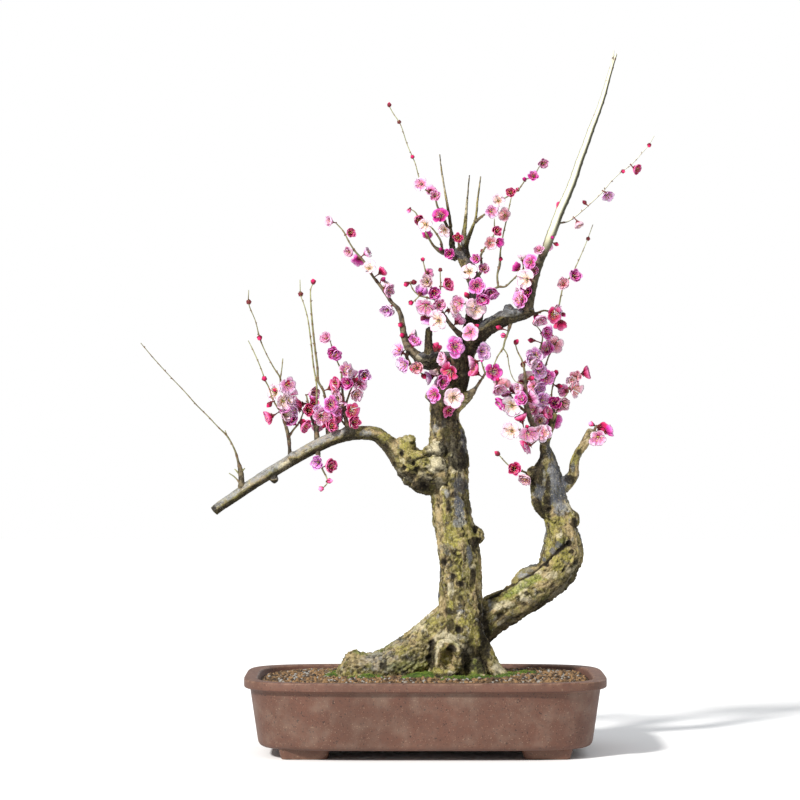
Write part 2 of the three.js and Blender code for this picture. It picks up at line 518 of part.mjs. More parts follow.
// The biggest body of a solid, without the scraps that a cut leaves.
function largestBody(solid) {
  return solid.decompose().sort((a, b) => b.volume() - a.volume())[0];
}

function meshOf(name, solid, material) {
  const { vertProperties, triVerts } = solid.getMesh();
  const geometry = new THREE.BufferGeometry();
  geometry.setAttribute('position', new THREE.BufferAttribute(vertProperties, 3));
  geometry.setIndex(new THREE.BufferAttribute(triVerts, 1));
  geometry.computeVertexNormals();
  const mesh = new THREE.Mesh(geometry, material);
  mesh.name = name;
  return mesh;
}

// Stations along a limb: its places, without those that lie almost on the straight line between
// the places that are kept.
function stationsOf(places) {
  return withoutSlack(places.map(([x, y, z, radius]) => ({
    centre: new THREE.Vector3(x, y, z), radius,
  })));
}

function withoutSlack(stations) {
  const [first, last] = [stations[0], stations.at(-1)];
  const line = new THREE.Line3(first.centre, last.centre);
  const nearest = new THREE.Vector3();
  const strays = stations.map(({ centre, radius }) => {
    const share = line.closestPointToPointParameter(centre, true);
    const bend = line.at(share, nearest).distanceTo(centre);
    const swelling = Math.abs(radius - THREE.MathUtils.lerp(first.radius, last.radius, share));
    return bend + swelling - SLACK - SLACK_SHARE * radius;
  });
  const furthest = strays.indexOf(Math.max(...strays));
  if (strays[furthest] <= 0) return [first, last];
  return [
    ...withoutSlack(stations.slice(0, furthest + 1)).slice(0, -1),
    ...withoutSlack(stations.slice(furthest)),
  ];
}

// A limb: a cylinder bent along its stations, and swollen here and there by up to the lump share.
function limb(places, { sides, swell = 0, lump = 0 }) {
  const stations = stationsOf(places);
  const last = stations.length - 1;
  const sideways = new THREE.Vector3(1, 0, 0);
  const frames = stations.map((_, i) => {
    const before = stations[Math.max(0, i - 1)].centre;
    const after = stations[Math.min(last, i + 1)].centre;
    const along = after.clone().sub(before).normalize();
    if (i === 0 && Math.abs(along.x) > 0.8) sideways.set(0, 1, 0);
    sideways.addScaledVector(along, -sideways.dot(along)).normalize();
    return { across: sideways.clone(), over: sideways.clone().cross(along) };
  });
  const geometry = new THREE.CylinderGeometry(1, 1, last, sides, last);
  const position = geometry.getAttribute('position');
  const vertex = new THREE.Vector3();
  for (let i = 0; i < position.count; i += 1) {
    vertex.fromBufferAttribute(position, i);
    const { x, z } = vertex;
    const station = Math.round(vertex.y + last / 2);
    const { centre, radius } = stations[station];
    const { across, over } = frames[station];
    const angle = Math.atan2(z, x);
    const wave = Math.sin(2 * angle + station * 0.9) + 0.7 * Math.sin(3 * angle - station * 1.3);
    const reach = radius * (1 + lump * wave) + swell;
    vertex.copy(centre).addScaledVector(across, x * reach).addScaledVector(over, z * reach);
    position.setXYZ(i, vertex.x, vertex.y, vertex.z);
  }
  return solidOf(geometry);
}

function knob({ at, size }, swell = 0) {
  const geometry = new THREE.SphereGeometry(1, 7, 5);
  geometry.scale(...size.map((half) => half + swell));
  geometry.translate(...at);
  return solidOf(geometry);
}

// The wood of the tree, all one growth: trunks, limbs, roots, knobs and bare shoots. The swell
// makes it larger all over, for cutting what stands against it.
function woodSolid(swell = 0) {
  const solids = [
    limb(TRUNK, { sides: 12, swell, lump: 0.04 }),
    limb(SECOND_TRUNK, { sides: 10, swell, lump: 0.04 }),
    limb(LEFT_LIMB, { sides: 8, swell, lump: 0.03 }),
    limb(KNOT_BOSS, { sides: 10, swell }),
    ...ROOTS.map(({ sides, places }) => limb(places, { sides, swell, lump: 0.04 })),
    ...LIMBS.map(({ sides, places }) => limb(places, { sides, swell })),
    ...BARE_SHOOTS.map((places) => limb(places, { sides: 4, swell })),
    ...KNOBS.map((place) => knob(place, swell)),
  ];
  const below = new THREE.BoxGeometry(2 * POT_LENGTH, 2 * POT_WIDTH, 2 * SOIL_LINE);
  below.translate(0, 0, -WOOD_DEPTH - SOIL_LINE - swell);
  return joined(solids).subtract(knob(KNOT_HOLLOW, -swell)).subtract(solidOf(below));
}

// A closed geometry from corners given as [radius, degrees, height] about the Z axis.
function facetsAbout(corners, faces) {
  const geometry = new THREE.BufferGeometry();
  const places = corners.flatMap(([radius, degrees, z]) => {
    const angle = THREE.MathUtils.degToRad(degrees);
    return [radius * Math.cos(angle), radius * Math.sin(angle), z];
  });
  geometry.setAttribute('position', new THREE.Float32BufferAttribute(places, 3));
  geometry.setIndex(faces);
  return geometry;
}

// A flower of five petals on its stalk, facing +Z from its heart. Every petal thins from its root
// to a square-shouldered rim, and a notch parts it from the next one.
function flowerGeometry({ reach, cup }, stalk) {
  const corners = [[0, 0, 0], [0, 0, -stalk]];
  const faces = [];
  for (let petal = 0; petal < 5; petal += 1) {
    const degrees = 72 * petal;
    corners.push(
      [PETAL.rootOut * reach, degrees, -PETAL.rootDown * reach],
      [reach, degrees - PETAL.half, cup + PETAL.tilt * reach],
      [reach, degrees + PETAL.half, cup - PETAL.tilt * reach],
      [PETAL.notchOut * reach, degrees + 36, PETAL.notchUp * cup],
    );
    const [under, left, right, notch] = [2, 3, 4, 5].map((k) => 4 * petal + k);
    const underNext = 4 * ((petal + 1) % 5) + 2;
    const notchBefore = 4 * ((petal + 4) % 5) + 5;
    faces.push(
      0, notchBefore, left, 0, left, right, 0, right, notch, 1, underNext, under,
      under, left, notchBefore, under, right, left, under, notch, right, under, underNext, notch,
    );
  }
  return facetsAbout(corners, faces);
}

// A half-open flower on its stalk, facing +Z: a bell whose rim has a point for each of five petals.
function bellGeometry({ reach, cup }, stalk) {
  const corners = [[0, 0, BELL.heart * reach], [0, 0, -stalk]];
  const faces = [];
  for (let petal = 0; petal < 5; petal += 1) {
    corners.push(
      [reach, 72 * petal, cup],
      [BELL.notchOut * reach, 72 * petal + 36, BELL.notchUp * cup],
    );
    const [tip, notch] = [2 * petal + 2, 2 * petal + 3];
    const notchBefore = 2 * ((petal + 4) % 5) + 3;
    faces.push(0, notchBefore, tip, 0, tip, notch, 1, notch, notchBefore, tip, notchBefore, notch);
  }
  return facetsAbout(corners, faces);
}

// A closed bud on its stalk, facing +Z: a four-sided bead, pointed at its tip and at its root.
function budGeometry({ reach }, stalk) {
  const profile = [
    new THREE.Vector2(0, -stalk),
    new THREE.Vector2(BUD.girth * reach, BUD.girthUp * reach),
    new THREE.Vector2(0, BUD.tip * reach),
  ];
  const geometry = new THREE.LatheGeometry(profile, 4);
  geometry.rotateX(Math.PI / 2);
  return geometry;
}

// Points every few millimetres along the straight lines between a twig's places.
function pointsAlong(places) {
  const centres = places.map(([x, y, z]) => new THREE.Vector3(x, y, z));
  return centres.slice(1).flatMap((end, i) => {
    const count = Math.ceil(centres[i].distanceTo(end) / 2);
    return Array.from({ length: count }, (_, k) => centres[i].clone().lerp(end, (k + 1) / count));
  });
}

// A bloom of a spray, set on the nearest of the twigs' points and facing away from it.
function bloomSolid([x, z, side, kind], order, twigPoints) {
  const flower = FLOWERS[kind];
  const away = (point) => Math.hypot(point.x - x, point.z - z);
  const foot = twigPoints.reduce((best, point) => (away(point) < away(best) ? point : best));
  const middle = new THREE.Vector3(x, foot.y + side * flower.lift, z);
  const facing = middle.clone().sub(foot);
  const stalk = facing.length() + STALK_ROOT;
  const shapes = { bud: budGeometry, half: bellGeometry, open: flowerGeometry, wide: flowerGeometry };
  const geometry = shapes[kind](flower, stalk);
  geometry.rotateZ(order * GOLDEN_ANGLE);
  geometry.applyQuaternion(
    new THREE.Quaternion().setFromUnitVectors(new THREE.Vector3(0, 0, 1), facing.normalize()),
  );
  geometry.translate(middle.x, middle.y, middle.z);
  return solidOf(geometry);
}

function spraySolid({ twigs, blooms }, cutter) {
  const twigPoints = twigs.flatMap(pointsAlong);
  const solids = [
    ...twigs.map((places) => limb(places, { sides: places[0][3] > 2.5 ? 4 : 3 })),
    ...blooms.map((bloom, order) => bloomSolid(bloom, order, twigPoints)),
  ];
  return largestBody(joined(solids).subtract(cutter));
}

// The pot: a profile turned about the middle, then squared to a rounded rectangle. A point of the
// profile keeps its distance from the pot's outline all the way round.
function squaredLathe(profile) {
  const geometry = new THREE.LatheGeometry(
    profile.map(([inset, z]) => new THREE.Vector2(inset === null ? 0 : POT_LENGTH / 2 - inset, z)),
    OUTLINE_SIDES,
  );
  geometry.rotateX(Math.PI / 2);
  const position = geometry.getAttribute('position');
  const squared = (value) => {
    const size = Math.abs(value);
    return size < 1e-9 ? 0 : Math.sign(value) * size ** OUTLINE_POWER;
  };
  for (let i = 0; i < position.count; i += 1) {
    const [x, y, z] = [position.getX(i), position.getY(i), position.getZ(i)];
    const radius = Math.hypot(x, y);
    if (radius < 1) continue;
    const halfWidth = radius - (POT_LENGTH - POT_WIDTH) / 2;
    position.setXYZ(i, squared(x / radius) * radius, squared(y / radius) * halfWidth, z);
  }
  geometry.translate(POT_CENTRE_X, 0, 0);
  return solidOf(geometry);
}

// The pot's inner wall slopes from the floor's edge to the rim's.
const CAVITY_FLOOR = FOOT_HEIGHT + POT_FLOOR;

function cavityInset(z) {
  const rise = (z - CAVITY_FLOOR) / (POT_HEIGHT - CAVITY_FLOOR);
  return THREE.MathUtils.lerp(POT_BASE_INSET + POT_WALL, POT_LIP + POT_WALL, rise);
}

function potSolid() {
  const body = squaredLathe([
    [null, FOOT_HEIGHT],
    [POT_BASE_INSET + 4, FOOT_HEIGHT],
    [POT_BASE_INSET - 3, FOOT_HEIGHT + 8],
    [POT_LIP, POT_HEIGHT - POT_LIP_HEIGHT - 3],
    [0, POT_HEIGHT - POT_LIP_HEIGHT],
    [0, POT_HEIGHT - RIM_ROUND],
    [RIM_ROUND, POT_HEIGHT],
    [cavityInset(POT_HEIGHT), POT_HEIGHT],
    [cavityInset(CAVITY_FLOOR), CAVITY_FLOOR],
    [null, CAVITY_FLOOR],
  ]);
  const feet = [-1, 1].flatMap((sx) => [-1, 1].map((sy) => {
    const foot = new THREE.CylinderGeometry(Math.SQRT1_2, FOOT_TAPER * Math.SQRT1_2, 1, 4);
    foot.rotateY(Math.PI / 4);
    foot.rotateX(Math.PI / 2);
    foot.scale(FOOT_LENGTH, FOOT_WIDTH, FOOT_HEIGHT + 4);
    foot.translate(
      POT_CENTRE_X + sx * (POT_LENGTH / 2 - FOOT_INSET_X - FOOT_LENGTH / 2),
      sy * (POT_WIDTH / 2 - FOOT_INSET_Y - FOOT_WIDTH / 2),
      (FOOT_HEIGHT + 4) / 2,
    );
    return solidOf(foot);
  }));
  const drains = [-1, 1].map((side) => {
    const drain = new THREE.CylinderGeometry(DRAIN_RADIUS, DRAIN_RADIUS, 4 * POT_FLOOR, 16);
    drain.rotateX(Math.PI / 2);
    drain.translate(POT_CENTRE_X + side * (DRAIN_SPACING / 2), 0, FOOT_HEIGHT);
    return solidOf(drain);
  });
  return drains.reduce((pot, drain) => pot.subtract(drain), joined([body, ...feet]));
}

// The soil fills the pot and rises in a low mound round the trunks.
function soilSolid(cutter) {
  const bottom = CAVITY_FLOOR + FIT_GAP;
  const body = squaredLathe([
    [null, bottom],
    [cavityInset(bottom) + FIT_GAP, bottom],
    [cavityInset(SOIL_EDGE) + FIT_GAP, SOIL_EDGE],
    [cavityInset(SOIL_EDGE) + 30, SOIL_EDGE + 0.55 * SOIL_CROWN],
    [null, SOIL_EDGE + SOIL_CROWN],
  ]);
  return largestBody(body.subtract(cutter));
}

const clay = new THREE.MeshStandardMaterial({ color: 0x6b4a3a, roughness: 0.75, metalness: 0 });
const earth = new THREE.MeshStandardMaterial({ color: 0x3b3126, roughness: 1, metalness: 0 });
const bark = new THREE.MeshStandardMaterial({ color: 0x7a7150, roughness: 0.9, metalness: 0 });
const petal = new THREE.MeshStandardMaterial({ color: 0xd77fa4, roughness: 0.6, metalness: 0 });

const woodCutter = woodSolid(FIT_GAP);
const tree = new THREE.Group();
tree.position.z = SOIL_LINE;
tree.add(meshOf('wood', woodSolid(), bark));
for (const spray of SPRAYS) {
  tree.add(meshOf(spray.name, spraySolid(spray, woodCutter), petal));
}

const holder = new THREE.Group();
holder.add(meshOf('pot', potSolid(), clay));
holder.add(meshOf('soil', soilSolid(woodCutter.translate([0, 0, SOIL_LINE])), earth));

// The whole stands with the middle of its underside at the origin.
const bonsai = new THREE.Group();
bonsai.add(holder, tree);
bonsai.updateMatrixWorld(true);
const extent = new THREE.Box3().setFromObject(bonsai);
const middle = extent.getCenter(new THREE.Vector3());
bonsai.position.set(-middle.x, -middle.y, -extent.min.z);

export default bonsai;
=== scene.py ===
"""A Japanese apricot bonsai in flower, in a plain unglazed clay pot.

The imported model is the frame: the tree stands on the soil of the pot. Every surface is worked out in
millimetres on the frame's axes, and add_piece() puts it into the scene in metres.
"""
import itertools
import math

import bmesh
import bpy
import numpy as np
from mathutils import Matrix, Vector


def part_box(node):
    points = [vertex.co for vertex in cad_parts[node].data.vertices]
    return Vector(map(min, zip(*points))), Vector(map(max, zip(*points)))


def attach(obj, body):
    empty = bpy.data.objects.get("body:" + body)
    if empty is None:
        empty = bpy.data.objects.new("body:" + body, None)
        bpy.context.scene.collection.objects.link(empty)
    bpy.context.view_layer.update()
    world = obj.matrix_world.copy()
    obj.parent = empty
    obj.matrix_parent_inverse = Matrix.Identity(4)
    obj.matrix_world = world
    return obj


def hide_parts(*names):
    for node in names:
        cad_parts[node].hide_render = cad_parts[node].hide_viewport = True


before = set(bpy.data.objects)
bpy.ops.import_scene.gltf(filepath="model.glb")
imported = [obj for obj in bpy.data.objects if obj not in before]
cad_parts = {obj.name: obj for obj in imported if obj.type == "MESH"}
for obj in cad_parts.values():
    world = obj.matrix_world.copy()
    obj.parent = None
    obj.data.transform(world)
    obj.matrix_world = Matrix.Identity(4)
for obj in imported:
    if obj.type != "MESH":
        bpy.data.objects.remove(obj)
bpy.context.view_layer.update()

pot_low, pot_high = (np.array(corner) * 1000 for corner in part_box("pot"))


# The pot: a rounded rectangle of brown clay on four low feet, pressed in a mould and fired without
# glaze. Its wall leans out to a square lip, and two holes in its floor let the water out.
POT_CENTRE = (pot_low + pot_high) / 2
POT_HALF = (pot_high - pot_low) / 2
POT_HEIGHT = pot_high[2]
OUTLINE_POWER = 0.42
FOOT_HEIGHT = 12
FLOOR_TOP = 22
LIP_HEIGHT = 10
LIP_OUT = 7
BASE_INSET = 20
WALL = 9
DRAIN_RADIUS = 11
DRAIN_OUT = 90
FOOT_HALF = (31, 23)
FOOT_OUT = (142, 91)
# The bands of lime on its wall: height, half-height and strength.
LIME_BANDS = [(26, 16, 0.6), (78, 6, 0.4)]


def new_mesh(name, points, faces):
    """A mesh from points in millimetres and rows of corner numbers."""
    mesh = bpy.data.meshes.new(name)
    corners = faces.shape[1]
    mesh.vertices.add(len(points))
    mesh.vertices.foreach_set("co", (points * 0.001).astype(np.float32).ravel())
    mesh.loops.add(faces.size)
    mesh.loops.foreach_set("vertex_index", faces.astype(np.int32).ravel())
    mesh.polygons.add(len(faces))
    mesh.polygons.foreach_set("loop_start", np.arange(0, faces.size, corners, dtype=np.int32))
    mesh.polygons.foreach_set("use_smooth", np.ones(len(faces), dtype=bool))
    mesh.update(calc_edges=True)
    return mesh


def add_piece(name, points, faces, finish, slot, replaced, **values):
    """A piece of the plant with its finish. Each array in values gives every point a value, a place
    or a colour under that name. The piece rides on the one body and stands for the replaced node."""
    mesh = new_mesh(name, points, faces)
    for key, value in values.items():
        kind, field = {1: ("FLOAT", "value"), 3: ("FLOAT_VECTOR", "vector"),
                       4: ("FLOAT_COLOR", "color")}[1 if value.ndim == 1 else value.shape[1]]
        attribute = mesh.attributes.new(key, kind, "POINT")
        attribute.data.foreach_set(field, value.astype(np.float32).ravel())
    mesh.materials.append(finish.material)
    piece = bpy.data.objects.new(name, mesh)
    bpy.context.scene.collection.objects.link(piece)
    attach(piece, "root")
    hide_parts(replaced)
    return piece


def grid_faces(rows, columns, ring=True):
    """The triangles of a grid of points numbered row by row, two for each cell. The rows close on
    themselves for a ring. In a sheet every cell's diagonal points at the middle of the sheet."""
    row, column = np.meshgrid(np.arange(rows - 1), np.arange(columns - (not ring)), indexing="ij")
    here = (row * columns + column).ravel()
    after = (row * columns + (column + 1) % columns).ravel()
    inward = ((row < (rows - 1) / 2) == (column < (columns - 1) / 2)).ravel() | ring
    first = np.stack([here, after, np.where(inward, after, here) + columns], axis=1)
    second = np.stack([np.where(inward, here, after), after + columns, here + columns], axis=1)
    return np.concatenate([first, second])


def capped(rings, first, last):
    """A closed skin from rings of points in order, with a point in the middle of each end."""
    rows, columns = rings.shape[:2]
    around = np.arange(columns)
    after = (around + 1) % columns
    count, top = rows * columns, (rows - 1) * columns
    start = np.stack([np.full(columns, count), after, around], axis=1)
    end = np.stack([np.full(columns, count + 1), top + around, top + after], axis=1)
    points = np.concatenate([rings.reshape(-1, 3), [first, last]])
    return points, np.concatenate([grid_faces(rows, columns), start, end])


def joined(shells):
    """Several (points, faces) as one, with the corner numbers of each raised by the points before."""
    starts = np.cumsum([0] + [len(points) for points, _ in shells])
    return (np.concatenate([points for points, _ in shells]),
            np.concatenate([faces + start for (_, faces), start in zip(shells, starts)]))


def paint(code):
    """A six-figure colour code as the linear red, green, blue and alpha that a shader mixes."""
    parts = np.array([int(code[i:i + 2], 16) for i in (0, 2, 4)]) / 255
    linear = np.where(parts <= 0.04045, parts / 12.92, ((parts + 0.055) / 1.055) ** 2.4)
    return (*linear.tolist(), 1.0)


class Value:
    """One output of a finish's nodes. Sums, differences and products add Math nodes."""

    def __init__(self, finish, socket):
        self.finish, self.socket = finish, socket

    def math(self, operation, *values):
        """One Math node on the values in their order."""
        return self.finish.node("ShaderNodeMath", {"operation": operation}, dict(enumerate(values)))

    def __add__(self, other):
        return self.math("ADD", self, other)

    def __sub__(self, other):
        return self.math("SUBTRACT", self, other)

    def __rsub__(self, other):
        return self.math("SUBTRACT", other, self)

    def __mul__(self, other):
        return self.math("MULTIPLY", self, other)

    __radd__ = __add__
    __rmul__ = __mul__

    def between(self, low, high):
        """0 at low, 1 at high, and a smooth rise from one to the other."""
        inputs = {"Value": self, "From Min": low, "From Max": high}
        return self.finish.node("ShaderNodeMapRange", {"interpolation_type": "SMOOTHSTEP"}, inputs)


class Finish:
    """A material, or the world, made of nodes from expressions on values."""

    def __init__(self, name, store=None):
        self.material = (bpy.data.materials if store is None else store).new(name)
        self.material.use_nodes = True
        self.tree = self.material.node_tree
        self.tree.nodes.clear()
        self.place = self.node("ShaderNodeTexCoord", output="Object")

    def node(self, kind, settings=None, inputs=None, output=0):
        """One node: its settings are set first, then the values or the links of its sockets."""
        made = self.tree.nodes.new(kind)
        for key, value in (settings or {}).items():
            setattr(made, key, value)
        for key, value in (inputs or {}).items():
            if isinstance(value, Value):
                self.tree.links.new(value.socket, made.inputs[key])
            else:
                made.inputs[key].default_value = value
        return Value(self, made.outputs[output]) if made.outputs else None

    def noise(self, size, detail=3.0, place=None):
        """Soft noise from 0 to 1 whose patches are about size millimetres wide."""
        inputs = {"Vector": place or self.place, "Scale": 1000 / size, "Detail": detail}
        return self.node("ShaderNodeTexNoise", None, inputs)

    def given(self, name, output="Fac"):
        """The piece's own value, place or colour of that name."""
        return self.node("ShaderNodeAttribute", {"attribute_name": name}, None, output)

    def blend(self, first, second, share):
        """The first colour turned into the second by a share. A code is read as a colour."""
        first, second = (paint(colour) if isinstance(colour, str) else colour for colour in (first, second))
        return self.node("ShaderNodeMix", {"data_type": "RGBA"}, {0: share, 6: first, 7: second}, 2)

    def over(self, colour, *layers):
        """The colour with each (colour, share) of the layers blended over it in turn."""
        for layer, share in layers:
            colour = self.blend(colour, layer, share)
        return colour

    def bump(self, height, depth):
        """A normal that follows a height from 0 to 1 over a depth in millimetres."""
        return self.node("ShaderNodeBump", None, {"Distance": depth * 0.001, "Height": height})

    def skin(self, colour, roughness, normal, **constants):
        """A Principled shader, with its constants set on their own sockets."""
        inputs = {"Base Color": colour, "Roughness": roughness, "Normal": normal, **constants}
        return self.node("ShaderNodeBsdfPrincipled", None, inputs)

    def show(self, shader, end="ShaderNodeOutputMaterial"):
        """Makes the shader the surface of the material, and gives back the finish."""
        self.node(end, None, {"Surface": shader})
        return self


def fired_clay():
    """Dark red-brown clay in patches of two tones, with pale grit and dark specks. It is paler where
    hands have rubbed it, and whitish where water has left lime."""
    clay = Finish("fired_clay")
    colour = clay.over(
        clay.blend("543628", "633f30", clay.noise(70, 4).between(0.2, 0.8)),
        ("53382d", clay.noise(5, 4).between(0.4, 0.7) * 0.5),
        ("a58a70", clay.noise(1.7, 2).between(0.62, 0.74) * 0.4),
        ("1c1310", clay.noise(2.4, 1).between(0.66, 0.72) * 0.75),
        ("9a7a62", clay.given("rubbed") * clay.noise(9, 4).between(0.3, 0.7) * 0.6),
        ("b7aa96", clay.given("limed") * clay.noise(22, 5).between(0.4, 0.8) * 0.4),
    )
    height = clay.noise(1.2, 3) * 0.35 + clay.noise(14, 3) * 0.65
    return clay.show(clay.skin(colour, clay.noise(20, 3) * 0.2 + 0.56, clay.bump(height, 0.4)))


def squared_ring(count, power, half):
    """Points round a rounded rectangle, as shares of its half-sizes: the cosine and the sine of an
    angle, each raised to the power with its sign kept, evenly spaced along the edge."""
    def corner(angle):
        wave = np.stack([np.cos(angle), np.sin(angle)], axis=1)
        return np.sign(wave) * np.abs(wave) ** power

    angle = np.linspace(0, 2 * np.pi, 20000)
    steps = np.linalg.norm(np.diff(corner(angle) * half, axis=0), axis=1)
    length = np.concatenate([[0], np.cumsum(steps)])
    return corner(np.interp(np.arange(count) / count * length[-1], length, angle))


def eased(profile, steps=5):
    """A profile of (inset, height, rounding) with its corners rounded: both sides of a corner are cut
    back by the rounding, and a parabola joins the ends."""
    places = np.array(profile, dtype=float)
    made = [places[:1, :2]]
    share = np.linspace(0, 1, steps)[:, None]
    for before, corner, after in zip(places, places[1:], places[2:]):
        middle = corner[:2]
        sides = [end[:2] - middle for end in (before, after)]
        start, end = (middle + side * min(0.45, corner[2] / np.hypot(*side)) for side in sides)
        made.append((1 - share) ** 2 * start + 2 * share * (1 - share) * middle + share ** 2 * end)
    return np.concatenate([*made, places[-1:, :2]])


def turned(profile, ring, half, centre):
    """A closed skin of rings: each is the ring of shares times the half-sizes less the profile's
    inset, at the profile's height."""
    insets, heights = profile.T
    flat = ring[None] * (np.array(half)[None, None] - insets[:, None, None])
    rings = np.dstack([flat, np.broadcast_to(heights[:, None], flat.shape[:2])])
    points, faces = capped(rings, (0, 0, heights[0]), (0, 0, heights[-1]))
    return points + (*centre, 0), faces


def band(height, middle, half):
    """1 at the middle height, down to 0 at half the band's width above and below it."""
    return np.clip(1 - np.abs(height - middle) / half, 0, 1)


def pot_wear(points):
    """How far each point is rubbed, most on the lip's top edge and under the feet, and limed, most in
    a band low on the wall and in one under the lip."""
    height = points[:, 2]
    rubbed = band(height, POT_HEIGHT - 0.8, 1.4) + band(height, 0, 3)
    limed = sum(band(height, middle, half) * share for middle, half, share in LIME_BANDS)
    return {"rubbed": np.clip(rubbed, 0, 1), "limed": limed}


def turns(count):
    """Angles evenly spaced round a circle."""
    return np.arange(count) / count * 2 * np.pi


def drilled(piece, places, radius, low, high, sides=48):
    """Bores a round hole down through the piece at each place, between two heights."""
    angle = turns(sides)
    for x, y in places:
        circle = np.stack([x + radius * np.cos(angle), y + radius * np.sin(angle)], axis=1)
        rings = np.stack([np.column_stack([circle, np.full(sides, height)]) for height in (low, high)])
        drill = bpy.data.objects.new("drill", new_mesh("drill", *capped(rings, (x, y, low), (x, y, high))))
        bpy.context.scene.collection.objects.link(drill)
        hole = piece.modifiers.new("hole", "BOOLEAN")
        hole.operation, hole.object, hole.solver = "DIFFERENCE", drill, "EXACT"
        bpy.context.view_layer.update()
        bored = bpy.data.meshes.new_from_object(piece.evaluated_get(bpy.context.evaluated_depsgraph_get()))
        piece.modifiers.clear()
        piece.data = bored
        bpy.data.objects.remove(drill)


clay = fired_clay()
floor_inset = BASE_INSET + 40
wall_profile = eased([
    (floor_inset, FOOT_HEIGHT, 0), (BASE_INSET - 3, FOOT_HEIGHT, 7),
    (LIP_OUT, POT_HEIGHT - LIP_HEIGHT - 1, 2), (0, POT_HEIGHT - LIP_HEIGHT, 1.5), (0, POT_HEIGHT, 1.8),
    (LIP_OUT + WALL, POT_HEIGHT, 3), (BASE_INSET + WALL, FLOOR_TOP, 6), (floor_inset, FLOOR_TOP, 0),
])
pot_ring = squared_ring(240, OUTLINE_POWER, POT_HALF[:2])
pot_points, pot_faces = turned(wall_profile, pot_ring, POT_HALF[:2], POT_CENTRE[:2])
pot = add_piece("pot_body", pot_points, pot_faces, clay, "clay", "pot", **pot_wear(pot_points))
drain_places = [(POT_CENTRE[0] + side * DRAIN_OUT, 0) for side in (-1, 1)]
drilled(pot, drain_places, DRAIN_RADIUS, low=2, high=40)

foot_profile = eased([(8, 0, 0), (4, 0, 2), (0, FOOT_HEIGHT + 3, 1), (6, FOOT_HEIGHT + 3, 0)])
foot_ring = squared_ring(48, 0.3, FOOT_HALF)
foot_points, foot_faces = joined([
    turned(foot_profile, foot_ring, FOOT_HALF, (POT_CENTRE[0] + side * FOOT_OUT[0], end * FOOT_OUT[1]))
    for side, end in itertools.product((-1, 1), repeat=2)
])
add_piece("pot_feet", foot_points, foot_faces, clay, "clay", "pot", **pot_wear(foot_points))


# The soil: baked clay granules, brown, tan and grey, heaped a little towards the trunk and settled
# by watering. The bed is one closed body, and loose granules lie on it.
SOIL_EDGE = 83
SOIL_RISE = 7
SOIL_LINE = 90
SOIL_INSET = 17
SOIL_HALF = POT_HALF[:2] - SOIL_INSET
SOIL_ROUNDNESS = 2 / OUTLINE_POWER
HUMP_WIDTH = 38
HUMP_HEIGHT = 0.9
GRAINS = 4000
GRAIN_SIZES = (1.4, 3.3)
PRIMES = np.array([73856093, 19349663, 83492791])


def scattered(cells, seed):
    """A number from 0 to 1 for each whole-numbered cell: its coordinates times large primes, summed
    and mixed by shifts and a product."""
    mixed = (cells.astype(np.int64) * PRIMES).sum(axis=-1) + seed * 2654435761
    mixed = (mixed ^ (mixed >> 13)) * 1274126177
    return ((mixed ^ (mixed >> 17)) & 0xFFFFFF) / 0xFFFFFF


def soft_noise(places, seed):
    """Noise from -1 to 1 that changes over one unit: the random numbers at the eight corners of a
    place's cell, blended by smooth shares."""
    cell = np.floor(places)
    share = places - cell
    share = share * share * (3 - 2 * share)
    total = 0
    for corner in itertools.product((0, 1), repeat=3):
        weight = np.prod(np.where(corner, share, 1 - share), axis=-1)
        total = total + weight * scattered(cell + corner, seed)
    return total * 2 - 1


def layered(places, seed, layers=3):
    """Soft noise with finer noise on it: each layer has half the size and half the height."""
    return sum(soft_noise(places * 2 ** layer, seed + layer) * 0.5 ** layer for layer in range(layers))


def ground(x, y):
    """The height of the bed: the edge height, raised towards the middle by how far a place is from
    the wall, with shallow humps."""
    across = (x - POT_CENTRE[0]) / SOIL_HALF[0]
    over = (y - POT_CENTRE[1]) / SOIL_HALF[1]
    out = np.clip(np.abs(across) ** SOIL_ROUNDNESS + np.abs(over) ** SOIL_ROUNDNESS, 0, 1)
    out = out ** (1 / SOIL_ROUNDNESS)
    humps = layered(np.stack([x, y, 0 * x], axis=-1) / HUMP_WIDTH, 5, 3)
    return SOIL_EDGE + SOIL_RISE * np.sqrt(np.clip(1 - out ** 2.5, 0, 1)) + humps * HUMP_HEIGHT


def baked_granules():
    """Baked clay: each granule has its own tone between dark brown, tan and grey, dusty on top."""
    soil = Finish("baked_granules")
    tone = soil.given("tone")
    colour = soil.over(
        soil.blend("3b2a1c", "8a6a45", tone.between(0.1, 0.75)),
        ("8d8a84", tone.between(0.86, 0.9)),
        ("2a221c", tone.math("LESS_THAN", tone, 0.07) * 0.8),
        ("b09a78", soil.noise(1.2, 3).between(0.5, 0.8) * 0.4),
    )
    height = soil.noise(0.8, 3) * 0.6 + soil.noise(2.2, 2) * 0.4
    return soil.show(soil.skin(colour, soil.noise(6, 2) * 0.1 + 0.86, soil.bump(height, 0.5)))


